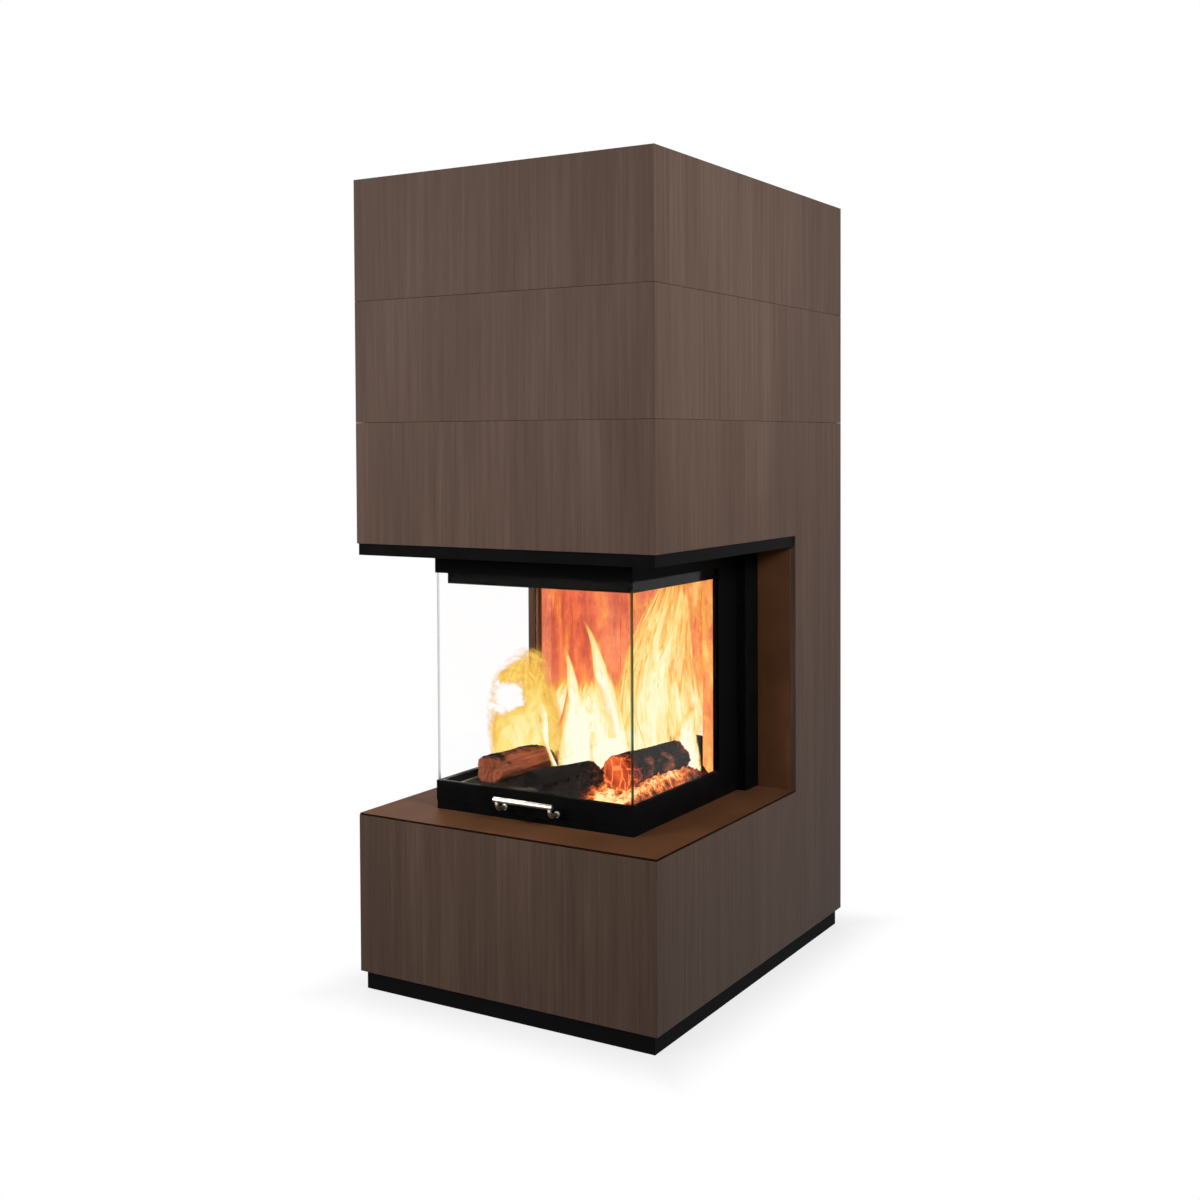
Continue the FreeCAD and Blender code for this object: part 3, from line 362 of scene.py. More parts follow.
# Looks of flames: seed, colours from tip to heart, density, fineness of the streaks, raggedness, heat, hole
FLAME_STEPS = (0.02, 0.3, 0.62, 0.95)
FlameLook = namedtuple("FlameLook", "seed colours density streak broken heat hole", defaults=(None,))
FLAME_LOOKS = {
    "curl": FlameLook(
        7.7, ((0.80, 0.40, 0.06), (0.90, 0.57, 0.11), (0.95, 0.73, 0.21), (0.98, 0.86, 0.42)),
        1.3, 1.6, 0.95, 0.72, hole=(-0.32, 0.55, 0.48),
    ),
    "tongue": FlameLook(
        12.4, ((0.95, 0.38, 0.06), (1.0, 0.66, 0.18), (1.0, 0.85, 0.42), (1.0, 0.96, 0.76)),
        1.45, 1.7, 0.75, 1.0,
    ),
    "blaze": FlameLook(
        19.2, ((0.90, 0.30, 0.04), (0.96, 0.55, 0.12), (0.98, 0.80, 0.32), (1.0, 0.93, 0.60)),
        1.1, 3.4, 1.5, 0.88,
    ),
}


def streaked_cladding(look):
    """Brown glazed slabs with upright streaks like combed wood, shifted from one row to the next.

    The rows are as high as the middle slab, and all below the lowest seam counts as one row.
    """
    finish = Finish("streaked_cladding", {"Specular IOR Level": 0.12})
    low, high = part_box("slab_front_middle")
    place = finish.place()
    row = ((finish.part(place, 2) - low.z) / (high.z - low.z)).floor().larger(-1.0)
    place = finish.moved(place, finish.vector(*(row * shift for shift in ROW_SHIFT)))
    fine = finish.noise(finish.stretched(place, (1, 1, 0.015)), 330, 3, 0.6)
    comb = finish.noise(finish.stretched(place, (1, 1, 0.03)), 95, 4, 0.6)
    broad = finish.noise(finish.stretched(place, (1, 1, 0.12)), 13, 2)
    tone = fine * 0.3 + comb * 0.45 + broad * 0.35 - 0.05
    dark, plain, light = scaled(look.cladding, 0.70), look.cladding, look.cladding_streak
    finish.cover(finish.ramp(tone, (0.32, dark), (0.5, plain), (0.68, light)), 0.46 + 0.2 * fine)
    return finish.bump(tone, 0.25, 0.0012)


def brown_paint(look):
    """Dull brown paint on sheet, with a fine orange-peel skin and painted shade: a dark line round the
    shelf's outer edge.
    """
    finish = Finish("brown_paint", {"Specular IOR Level": 0.01})
    low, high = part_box("hearth_shelf")
    place = finish.place()
    peel = finish.noise(place, 900, 2)
    cloud = finish.noise(place, 7, 3)
    beside, before = abs(finish.part(place, 0)) - high.x, low.y - finish.part(place, 1)
    # Painted shade: the shelf's outer edge is darkened, as where the gap to the slabs falls in shade
    shelf_shade = beside.larger(before).step(-SHELF_SHADE_WIDTH, -SHELF_SHADE_WIDTH / 2)
    paint = finish.shades(cloud, look.sheet, (0.3, 0.82), (0.7, 1.15))
    finish.cover(finish.mix(shelf_shade, paint, scaled(look.sheet, 0.12)), 0.58 + 0.14 * cloud)
    return finish.bump(peel, 0.12, 0.0004)


def black_paint(look):
    """Heat-resistant black paint on steel, slightly grainy, with a breath of dust."""
    finish = Finish("black_paint", {"Specular IOR Level": 0.02})
    place = finish.place()
    grain = finish.noise(place, 1300, 2)
    dust = finish.noise(place, 16, 4)
    finish.cover(finish.shades(dust, look.black, (0.35, 1), (0.75, 1.9)), 0.4 + 0.2 * dust)
    return finish.bump(grain, 0.15, 0.0003)


def scorched_paint(look):
    """The same black paint on stiles and shell, with painted firelight on the left stile's front edge beside
    the fire: brown, redder towards the fire.
    """
    finish = black_paint(look)
    finish.material.name = "scorched_paint"
    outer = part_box("door_bottom_rail")[0].x
    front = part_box("door_stile_left")[0].y
    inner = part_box("door_stile_left")[1].x
    place = finish.place()
    aside, back = finish.part(place, 0), finish.part(place, 1)
    dull = finish.noise(finish.stretched(place, (1, 1, 0.2)), 40, 3)
    # Painted firelight: brown on the stile's front edge, redder towards the fire
    redder_light = aside.step(*(inner + reach for reach in REDDER_LIGHT_REACH))
    brown = finish.mix(redder_light, finish.ramp(dull, *FIRELIT_BROWNS), REDDER_FIRELIGHT)
    left = aside.step(MIDDLE_BLEND, -MIDDLE_BLEND) * aside.step(*(outer + skin for skin in FIRELIGHT_SKIN))
    edge = back.step(front + FIRELIGHT_DEPTH, front + 0.9 * FIRELIGHT_DEPTH) * left
    finish.set({"Base Color": finish.mix(edge, look.black, brown)})
    return finish


def black_plinth(look):
    """Matt black concrete of the recessed foot."""
    finish = Finish("black_plinth", {"Specular IOR Level": 0.06})
    grain = finish.noise(finish.place(), 380, 4, 0.7)
    finish.cover(finish.shades(grain, look.black, (0.3, 0.6), (0.8, 1.4)), 0.7 + 0.2 * grain)
    return finish.bump(grain, 0.3, 0.0006)


def backing_board(look):
    """Grey refractory board: light grains in a sandy ground, with pores."""
    finish = Finish("backing_board", {"Specular IOR Level": 0.2})
    place = finish.place()
    sand = finish.noise(place, 520, 4, 0.7)
    cloud = finish.noise(place, 5, 3)
    pores = finish.cells(place, 260, "F1").step(0.05, 0.22)
    ground = finish.shades(cloud * 0.5 + sand * 0.5, look.board, (0.3, 0.72), (0.7, 1.2))
    finish.cover(finish.mix(pores, scaled(look.board, 0.45), ground), 0.8 + 0.15 * sand)
    return finish.bump(sand + pores, 0.3, 0.0008)


def flue_paint(look):
    """Dark grey sheet of the flue and the air duct, drawn lengthwise."""
    finish = Finish("flue_paint", {"Metallic": 0.4})
    place = finish.place()
    drawn = finish.noise(finish.stretched(place, (1, 1, 0.08)), 240, 3)
    cloud = finish.noise(place, 11, 3)
    finish.cover(finish.shades(cloud, look.flue, (0.3, 0.7), (0.75, 1.3)), 0.42 + 0.25 * drawn)
    return finish.bump(drawn, 0.12, 0.0004)


def fire_lining(look):
    """Pressed lining bricks: golden flakes in a tan ground, sooted higher up and in patches."""
    finish = Finish("fire_lining", {"Specular IOR Level": 0.2})
    low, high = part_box("back_lining")
    place = finish.place()
    flakes = finish.cells(finish.stretched(place, (1, 1, 1.6)), 330, "F1")
    soot = finish.noise(place, 9, 5, 0.6)
    rise = (finish.part(place, 2) - low.z) / (high.z - low.z)
    sooted = (soot + rise * 0.35).step(0.5, 0.95)
    bright = finish.shades(flakes, look.lining, (0.1, 1.25), (0.6, 0.7))
    finish.cover(finish.mix(sooted * 0.8, bright, scaled(look.lining, 0.14)), 0.78 + 0.2 * soot)
    return finish.bump(flakes, 0.25, 0.0008)


def lit_lining(look):
    """The same bricks round the fire, with painted firelight given off in upright streaks, deep red left and
    amber right.
    """
    finish = fire_lining(look)
    finish.material.name = "lit_lining"
    low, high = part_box("back_lining")
    place = finish.place()
    streak = finish.noise(finish.stretched(place, (1, 1, 0.2)), 24, 5, 0.62, 0.6)
    wisp = finish.noise(finish.stretched(place, (1, 1, 0.45)), 70, 4, 0.6, 0.8)
    side = (finish.part(place, 0) - low.x) / (high.x - low.x)
    # Painted firelight: light given off by the bricks in streaks, more amber towards the right
    warmth = 0.15 + 0.36 * side + (streak - 0.5) * 1.7 + (wisp - 0.5) * 0.8
    finish.set({"Emission Color": finish.ramp(warmth, *LINING_FIRELIGHT), "Emission Strength": 0.95})
    return finish


def clear_pane(look):
    """Glass ceramic: clear faces, and ground edges where panes meet, dark green right and pale left."""
    finish = Finish("clear_pane", {"Transmission Weight": 1.0, "IOR": 1.1, "Specular IOR Level": 0.1})
    low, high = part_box("front_glass")
    place = finish.place()
    aside = abs(finish.part(place, 0))
    inner = high.x - (high.y - low.y)
    corner = aside.step(inner - PANE_SKIN, inner) * finish.part(place, 1).step(high.y + PANE_SKIN, high.y)
    right = finish.part(place, 0).step(-MIDDLE_BLEND, MIDDLE_BLEND)
    edge = finish.mix(right, look.pale_edge, look.glass_edge)
    haze = finish.noise(place, 26, 3)
    finish.cover(finish.mix(corner, WHITE, edge), corner * 0.35 + haze * 0.012)
    return finish


def brushed_steel(look):
    """Stainless steel brushed along X, with faint bright and dull bands."""
    finish = Finish("brushed_steel", {"Metallic": 1.0})
    place = finish.place()
    brush = finish.noise(finish.stretched(place, (0.02, 1, 1)), 2600, 2)
    band = finish.noise(finish.stretched(place, (0.3, 1, 1)), 60, 2)
    finish.cover(finish.shades(band, look.steel, (0.3, 0.86), (0.7, 1)), 0.2 + 0.22 * brush)
    return finish.bump(brush, 0.08, 0.0002)


def cast_iron(look):
    """Sand-cast iron: dark, lumpy and a little rusty in the hollows."""
    finish = Finish("cast_iron", {"Metallic": 0.6})
    place = finish.place()
    sand = finish.noise(place, 420, 4, 0.65)
    rust = finish.noise(place, 22, 4).step(0.56, 0.78)
    dark = finish.shades(sand, look.iron, (0.3, 0.6), (0.7, 1.3))
    finish.cover(finish.mix(rust * 0.6, dark, RUST), 0.55 + 0.3 * sand)
    return finish.bump(sand, 0.4, 0.0009)


def wire_rope(look):
    """Galvanised wire: bright crowns and greasy grey valleys."""
    finish = Finish("wire_rope", {"Metallic": 0.9})
    grease = finish.noise(finish.place(), 300, 3)
    finish.cover(finish.shades(grease, look.steel, (0.35, 0.35), (0.7, 0.8)), 0.3 + 0.3 * grease)
    return finish


def woven_seal(look):
    """Black glass-fibre seal with a fine woven surface."""
    finish = Finish("woven_seal", {"Specular IOR Level": 0.2})
    weave = finish.cells(finish.place(), 700, "F1")
    finish.cover(finish.shades(weave, look.black, (0.1, 4), (0.7, 1)), 0.8 + 0.15 * weave)
    return finish.bump(weave, 0.5, 0.001)


def burning_wood(look):
    """Split log: red-brown fibres along it, charred to black blocks where it burns, glowing where it is hot.

    The mesh gives two shares along the surface: char, from wood to charcoal, and hotness, up to glowing.
    """
    finish = Finish("burning_wood", {"Specular IOR Level": 0.05, "Emission Strength": 1.15})
    along = finish.across()
    place = finish.place()
    fibre = finish.noise(finish.stretched(along, (9, 160, 1)), 1, 4, 0.65)
    blocks = finish.cells(finish.stretched(along, (34, 52, 1)), 1)
    cracks = blocks.step(0.09, 0.0)
    patch = finish.noise(place, 30, 4)
    heat = finish.attribute("hotness")
    burnt = (finish.attribute("char") + heat * 0.6 + (patch - 0.5) * 1.1).step(0.35, 0.65)
    wood = finish.shades(fibre, look.bark, (0.3, 0.45), (0.5, 1), (0.72, 1.7))
    coal = finish.ramp(fibre, *CHARCOAL)
    glow = (heat * (0.55 + 0.9 * patch) + cracks * heat * 0.6).step(0.15, 1.15)
    finish.cover(finish.mix(burnt, wood, coal), 0.72 + 0.2 * fibre)
    finish.set({"Emission Color": finish.ramp(glow, *WOOD_GLOW)})
    return finish.bump(fibre * 0.4 - cracks * burnt, 0.6, 0.003)


def ember_bed():
    """Ash and coals: grey ash, black crusts, and orange light in the cracks where the mesh is hot."""
    finish = Finish("ember_bed", {"Specular IOR Level": 0.03, "Emission Strength": 1.15})
    place = finish.place()
    crumbs = finish.noise(place, 190, 4, 0.65)
    drift = finish.noise(place, 60)
    drift = finish.node("ShaderNodeVectorMath", {"operation": "SCALE"}, {0: drift, "Scale": 0.02})
    lumps = finish.cells(finish.moved(place, drift), 42)
    patch = finish.noise(place, 19, 3)
    heat = finish.attribute("hotness")
    glow = (heat * (0.5 + patch) - lumps * 0.9 + (crumbs - 0.5) * 0.9).step(0.05, 1.05)
    dark = finish.ramp(crumbs, *DARK_CRUST)
    pale = finish.ramp(crumbs, *PALE_ASH)
    finish.cover(finish.mix(finish.attribute("ash"), dark, pale), 0.85 + 0.1 * crumbs)
    finish.set({"Emission Color": finish.ramp(glow, *EMBER_GLOW)})
    return finish.bump(crumbs - lumps, 0.5, 0.003)


def flame_finish(name, look, strength):
    """Flame: light alone, thick in the core and ragged towards its sides and tip.

    With u from -1 to 1 across and v from 0 to 1 up, body = (1 - |u|^2) (1 - v^3), and thickness = density
    * body + broken * noise drawn out upwards. The thickness gives the opacity and, with the height and dark
    veins, the colour from tip to edge, core and heart. A hole, given by its place across and up and its
    reach, thins the body, and above its lower rim the noise curls round it.
    """
    finish = Finish(name, {
        "Base Color": BLACK, "Specular IOR Level": 0.0, "Roughness": 1.0, "Emission Strength": strength,
    })
    seed, streak = look.seed, look.streak
    uv = finish.across()
    u, v = finish.part(uv, 0), finish.part(uv, 1)
    lick = finish.noise(finish.vector(u * streak + seed, v * 2.6 + seed, seed), 1, 4, 0.6, 1.1)
    wisp = finish.noise(finish.vector(u * streak * 2.4 - seed, v * 4.2, seed), 1, 5, 0.6, 1.6)
    body = (1 - abs(u) ** 2) * (1 - v ** 3) * v.step(-0.02, 0.1)
    if look.hole:
        across, up, reach = look.hole
        aside, above = u - across, (v - up) * 3.6
        far = (aside ** 2 + above ** 2) ** 0.5
        curled = above.step(-1.0, -0.2)
        turned = finish.vector(aside / far + seed, above / far, far * streak * 1.6)
        lick = lick + curled * (finish.noise(turned, 1, 4, 0.6, 0.5) - lick)
        turned = finish.vector(aside / far * 1.8 - seed, above / far * 1.8, far * streak * 3.4)
        wisp = wisp + curled * (finish.noise(turned, 1, 5, 0.6, 0.8) - wisp)
    ragged = (lick - 0.5) * 1.5 + (wisp - 0.5) * 0.7
    if look.hole:
        body = body * (0.12 + 0.88 * (far + ragged * 0.15).step(reach * 0.5, reach * 1.4))
    thick = body * look.density + ragged * body.step(0, 0.35) * look.broken
    swirl = finish.noise(finish.vector(u * streak * 1.1 + seed, v * 2.4 - seed, seed), 1, 2, 0.5, 1.6)
    vein = abs(swirl - 0.5).step(0.06, 0.0)
    warmth = (thick * 0.9 - v * 0.3 + 0.12 + (wisp - 0.5) * 0.5 - vein * 0.3) * look.heat
    finish.set({
        "Alpha": thick.step(0.12, 0.6),
        "Emission Color": finish.ramp(warmth, *zip(FLAME_STEPS, look.colours)),
    })
    return finish


# Logs, embers and flames

CHAMBER_MARGIN = 0.004  # between the fire and panes, bricks and baffle
LOG_WAY = (0.3, 1.0)  # a log's far end is the one on this side
END_HOLLOW, END_GRAIN = 0.012, 0.002  # depth and relief of a log's split ends

# Shares of a log's width, height or length
BEND_SHARE = 0.035
HALF_WIDTH_SHARE = 0.47
TAPER_SHARE = 0.1
FLAT_SHARE = 0.03
CUT_SHARE = 0.985
GIRTH_SHARE = 2.6

# Spots of the ember bed: middle, and reach across and along
Spot = namedtuple("Spot", "x y across along")
COAL_HEAP = Spot(0.08, -0.06, 0.2, 0.3)
HOT_COALS = Spot(0.13, -0.1, 0.19, 0.28)
FRONT_COALS = Spot(0.15, -0.285, 0.05, 0.05)
WHITE_ASH = Spot(-0.05, -0.29, 0.10, 0.03)
BANK_SHARE, BANK_REACH_SHARE, BANK_END_SHARE = 0.93, 0.14, 0.75  # of the bed's half width and half length

# Logs: seed of the bark, share of char, heat of the near and the far end
Log = namedtuple("Log", "seed char hot_near hot_far")
LOGS = {
    "log_left": Log(11, 0.30, 0.0, 0.45),
    "log_front": Log(21, 1.10, 0.0, 0.35),
    "log_right": Log(32, 0.58, 0.68, 0.35),
    "log_rear": Log(43, 0.45, 0.5, 0.1),
}

# Flames: look, foot, turn about Z in degrees, half width, height, lean, sway, two powers of the width, bow
Flame = namedtuple("Flame", "look x y facing half_width height lean sway belly tip bow", defaults=(0.6, 0.35))
FLAMES = {
    "left_curl": Flame("curl", -0.143, -0.15, 31, 0.092, 0.30, 0.02, 0.012, 0.45, bow=0.1),
    "centre_base": Flame("tongue", 0.015, -0.13, 31, 0.075, 0.24, -0.01, 0.01, 0.2),
    "centre_tongue": Flame("tongue", -0.015, -0.14, 31, 0.042, 0.31, -0.025, 0.008, 0.05, tip=1.0),
    "centre_spire": Flame("tongue", 0.06, -0.11, 24, 0.056, 0.37, -0.075, 0.01, 0.05, tip=1.0),
    "right_blaze": Flame("blaze", 0.125, -0.04, 28, 0.10, 0.47, 0.03, 0.016, 0.25),
    "rear_blaze": Flame("blaze", 0.105, 0.09, 10, 0.078, 0.44, 0.015, 0.01, 0.3),
    "corner_blaze": Flame("tongue", 0.160, 0.138, 8, 0.028, 0.34, -0.01, 0.006, 0.2, tip=1.0),
    "right_lick": Flame("tongue", 0.185, -0.01, 38, 0.036, 0.17, 0.012, 0.006, 0.15, tip=0.9),
    "cross_left": Flame("tongue", -0.10, -0.10, 115, 0.08, 0.22, 0.02, 0.012, 0.25),
    "cross_right": Flame("blaze", 0.10, -0.05, 120, 0.10, 0.38, 0.02, 0.014, 0.25),
}


def log_frame(name):
    """Middle, directions along and across, length, width, bottom and top of a log, read from its solid.

    It lies along the longest spread of its plan, from near the front to the back.
    """
    points = node_points(name)
    middle = (points.min(0) + points.max(0)) / 2
    spread = (points - points.mean(0))[:, :2]
    direction = np.linalg.svd(spread, full_matrices=False)[2][0]
    direction = direction * np.sign(direction @ LOG_WAY)
    aside = np.array([direction[1], -direction[0]])
    length, width = np.ptp(spread @ direction), np.ptp(spread @ aside)
    return middle, direction, aside, length, width, points[:, 2].min(), points[:, 2].max()


def make_log(name, log, finish, bark_depth):
    """Split log over the solid of that name.

    With a round it and s along it, the section is a rounded wedge: across = w cos(a)(0.88 + 0.12 cos 3a)
    and up = h (0.5 + 0.5 sin a), pressed flat below, times 1 - bark ridges, which are noise of a drawn out
    along s. At both ends the rows run in to the middle, hollowed by split-wood noise. The map runs along and
    round the log, and flat across its end faces.
    """
    seed = log.seed
    middle, direction, aside, length, width, low, high = log_frame(name)
    rows, columns, cap = 120, 112, 12
    round_it = np.linspace(0, 1, columns + 1)[None, :]
    a = TURN * (round_it[:, :-1] - 0.25)
    inner = np.linspace(0, 1, cap, endpoint=False)
    reach = np.concatenate([inner, np.ones(rows), inner[::-1]])[:, None]
    s = np.concatenate([np.zeros(cap), np.linspace(0, 1, rows), np.ones(cap)])[:, None]
    ridge = waves(seed, 9 * np.cos(a), 9 * np.sin(a), 3.1 * s + 0 * a)
    crack = np.abs(waves(seed + 1, 5 * np.cos(a), 5 * np.sin(a), 9 * s)) ** 0.5
    bend = BEND_SHARE * width * waves(seed + 2, 5 * s + 0 * a, count=3)
    size = 1 - bark_depth / width * (1.5 - 1.5 * crack + ridge)
    taper = 1 - TAPER_SHARE * s
    wedge = HALF_WIDTH_SHARE * width * np.cos(a) * (0.88 + 0.12 * np.cos(3 * a))
    across = wedge * size * taper * reach + bend
    up = (high - low) * (0.5 + 0.5 * np.sin(a) * size * reach * taper)
    up = np.maximum(up, FLAT_SHARE * (high - low) * (1 + 0.3 * ridge))
    hollow = END_HOLLOW * (1 - reach) * (1 + waves(seed + 3, 30 * across, 30 * up))
    hollow = hollow + END_GRAIN * ridge * (reach < 1)
    along = (s - 0.5) * length * CUT_SHARE + np.where(s < 0.5, hollow, -hollow)
    plan = along[..., None] * direction + across[..., None] * aside + middle[:2]
    points = np.concatenate([plan, (low + up)[..., None]], -1)
    uv = np.stack([s * length + 0 * round_it, (round_it + 0 * s) * GIRTH_SHARE * width], -1)
    face = np.pad(np.stack([0.35 * (up - up.mean()), across], -1), ((0, 0), (0, 1), (0, 0)), mode="wrap")
    uv = np.where(reach[..., None] < 1, face + (s * length)[..., None] * (1, 0), uv)
    ends = np.clip(1 - np.stack([s / 0.35, (1 - s) / 0.3]), 0, 1) + 0 * a
    rise = up / (high - low)
    heat = np.clip(log.hot_near * ends[0] + log.hot_far * ends[1] + 0.35 * np.clip(0.35 - rise, 0, 1), 0, 1)
    crest = np.clip((rise - 0.8) / 0.2, 0, 1)
    burnt = log.char + 0.35 * crest + 0.45 * ends[1]
    piece = grid_piece(f"burning_{name}", points, finish, True, uv, hotness=heat, char=burnt)
    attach(piece, ROOT)
    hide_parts(name)


def far_from(spot, x, y):
    """Distance from the middle of a spot, in its reaches."""
    return np.hypot((x - spot.x) / spot.across, (y - spot.y) / spot.along)


def both_faces(values):
    """A grid's values on the upper face and, in columns that run back between its rims, on the underside."""
    return np.concatenate([values, values[:, -2:0:-1]], 1)


def make_embers(finish, height):
    """Bed of ash and coals on the floor bricks.

    With p across and q along from -1 to 1, height = h (1 - |p|^16)(1 - |q|^12) times the sum of a thin
    layer, lumps of noise, a heap under the logs and a bank beside the right pane. The underside is flat on
    the bricks.
    """
    low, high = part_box("floor_lining")
    fineness = 170
    p, q = np.meshgrid(np.linspace(-1, 1, fineness), np.linspace(-1, 1, fineness), indexing="ij")
    x = (low.x + high.x) / 2 + p * ((high.x - low.x) / 2 - CHAMBER_MARGIN)
    y = (low.y + high.y) / 2 + q * ((high.y - low.y) / 2 - CHAMBER_MARGIN)
    lumps = np.abs(waves(41, 60 * x, 60 * y)) + 0.6 * np.abs(waves(42, 170 * x, 170 * y, count=6))
    heap = np.clip(1 - far_from(COAL_HEAP, x, y) ** 2, 0, 1)
    bank = np.clip(1 - np.abs(p - BANK_SHARE) / BANK_REACH_SHARE, 0, 1) * np.clip(BANK_END_SHARE - q, 0, 1)
    edge = (1 - np.abs(p) ** 16) * (1 - np.abs(q) ** 12)
    rise = height * edge * (0.12 + 0.35 * lumps * (0.3 + heap) + 0.5 * heap + 0.55 * bank)
    glowing = np.clip(0.85 - far_from(HOT_COALS, x, y), 0, 1)
    front = np.clip(1.3 - far_from(FRONT_COALS, x, y), 0, 1)
    heat = np.clip(0.85 * glowing + front + 0.6 * bank, 0, 1.1)
    ash = np.clip(0.5 - far_from(WHITE_ASH, x, y), 0, 1)
    points = both_faces(np.stack([x, y, high.z + rise], -1))
    points[:, fineness:, 2] = high.z
    piece = grid_piece("ember_bed", points, finish, True, hotness=both_faces(heat), ash=both_faces(ash))
    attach(piece, ROOT)


def within_chamber(x, y):
    """Points kept clear of the panes and, further back, of the linings: x = min(max(x, -limit), limit)."""
    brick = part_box("side_lining_right")[0]
    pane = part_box("right_glass")[0].x
    limit = np.where(y > brick.y - CHAMBER_MARGIN, brick.x, pane) - CHAMBER_MARGIN
    return np.clip(x, -limit, limit), np.minimum(y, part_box("back_lining")[0].y - CHAMBER_MARGIN)


def make_flame(name, flame, finish):
    """Flame sheet rising from the floor bricks, as far as the baffle.

    With u from -1 to 1 across and v from 0 to 1 up, the half width is w (v + 0.08)^belly (1 - 0.995 v)^tip
    over its largest value. The middle line leans by lean v^2 and sways as a sine, whose start differs with
    the length of the name. The sheet is bowed by u^2 and rippled by a sine of u and v.
    """
    rows, columns = 72, 30
    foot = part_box("floor_lining")[1].z
    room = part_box("baffle_plate")[0].z - CHAMBER_MARGIN - foot
    v = np.linspace(0, min(1, room / flame.height), rows)[:, None]
    u = np.linspace(-1, 1, columns)[None, :]
    profile = (v + 0.08) ** flame.belly * (1 - v * 0.995) ** flame.tip
    width = flame.half_width * (profile / profile.max())
    middle = flame.lean * v ** 2 + flame.sway * np.sin(TURN * (0.9 * v + 0.13 * len(name))) * v ** 0.7
    aside = middle + width * u
    back = flame.half_width * (flame.bow * (u ** 2 - 0.4) + 0.25 * np.sin(5 * v + 2 * u))
    turn = math.radians(flame.facing)
    x, y = within_chamber(
        flame.x + aside * math.cos(turn) - back * math.sin(turn),
        flame.y + aside * math.sin(turn) + back * math.cos(turn),
    )
    points = np.stack([x, y, foot + flame.height * v + 0 * u], -1)
    uv = np.stack([u + 0 * v, v + 0 * u], -1)
    piece = grid_piece(name, points, finish, False, uv)
    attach(piece, ROOT)


# Ropes


def rope_surface(path, normal, binormal, radius, strands=6, pitch_share=14, columns=36):
    """Laid rope along a path: radius r (0.86 + 0.14 |cos(k (a - turn))|), where turn grows along it."""
    run = np.concatenate([[0], np.cumsum(np.linalg.norm(np.diff(path, axis=0), axis=1))])[:, None]
    a = np.linspace(TURN, 0, columns, endpoint=False)[None, :]
    lay = np.abs(np.cos(strands / 2 * (a - TURN * run / (pitch_share * radius))))
    reach = (radius * (0.86 + 0.14 * lay))[..., None]
    ring = np.cos(a)[..., None] * normal[:, None, :] + np.sin(a)[..., None] * binormal[:, None, :]
    tube = path[:, None, :] + reach * ring
    ends = np.repeat(path[[0, -1], None, :], columns, 1)
    return np.concatenate([ends[:1], tube, ends[1:]])


def straight_rope(x, y, low, high, radius, rows=260):
    """Upright run of rope: its path is (x, y, z), with z from low to high."""
    z = np.linspace(low, high, rows)
    path = np.stack([0 * z + x, 0 * z + y, z], -1)
    normal, binormal = np.tile((1.0, 0, 0), (rows, 1)), np.tile((0, 1.0, 0), (rows, 1))
    return rope_surface(path, normal, binormal, radius)


def wrapped_rope(x, y, z, pitch, radius, rows=160):
    """Half turn of rope over a pulley: y + pitch cos t and z + pitch sin t, from the door to the weight."""
    t = np.linspace(math.pi, 0, rows)
    out = np.stack([0 * t, np.cos(t), np.sin(t)], -1)
    path = np.array([x, y, z]) + pitch * out
    return rope_surface(path, out, np.tile((1.0, 0, 0), (rows, 1)), radius)


# Settings


def colour_setting(title, description, default):
    """Colour of a finish, as light reflected by each channel."""
    return bpy.props.FloatVectorProperty(
        name=title, description=description, default=default, subtype="COLOR", size=3, min=0, max=1
    )


def number_setting(title, description, default, **options):
    """A number, with its unit or subtype among the options."""
    return bpy.props.FloatProperty(name=title, description=description, default=default, **options)


def length_setting(title, description, default):
    """Length in metres."""
    return number_setting(title, description, default, unit="LENGTH")


def angle_setting(title, description, default):
    """Angle in radians."""
    return number_setting(title, description, default, unit="ROTATION")


def lamp_setting(title, description, default):
    """Power of a lamp in watts."""
    return number_setting(title, description, default, subtype="POWER")


class FireplaceFinishes(bpy.types.PropertyGroup):
    """Colours of the fixed finishes."""

    cladding: colour_setting("Cladding", "Ground colour of the slabs", (0.100, 0.060, 0.043))
    cladding_streak: colour_setting("Streaks", "Light streaks of the slabs", (0.134, 0.086, 0.065))
    sheet: colour_setting("Brown sheet", "Shelf and niche panels", (0.148, 0.063, 0.029))
    black: colour_setting("Black", "Frames, soffit and plinth", (0.0030, 0.0029, 0.0029))
    board: colour_setting("Board", "Backing boards, rear and top", (0.33, 0.30, 0.27))
    flue: colour_setting("Flue", "Flue pipe and air duct", (0.035, 0.035, 0.037))
    lining: colour_setting("Lining", "Bricks of the chamber", (0.46, 0.32, 0.17))
    steel: colour_setting("Steel", "Handle, shaft and rollers", (0.74, 0.71, 0.66))
    iron: colour_setting("Iron", "Pulleys and counterweights", (0.060, 0.058, 0.056))
    glass_edge: colour_setting("Glass edge", "Ground edges of the panes, right", (0.10, 0.16, 0.13))
    pale_edge: colour_setting("Pale edge", "Ground edges of the panes, left", (0.60, 0.63, 0.62))
    bark: colour_setting("Bark", "Unburnt faces of the logs", (0.31, 0.084, 0.038))


class FireplaceFire(bpy.types.PropertyGroup):
    """Sizes and strength of the fire."""

    bark_depth: length_setting("Bark depth", "Depth of the bark's ridges", 0.0045)
    ember_height: length_setting("Ember height", "Height of the bed of coals", 0.034)
    strength: number_setting("Flames", "Light of the flames", 1.05, min=0)


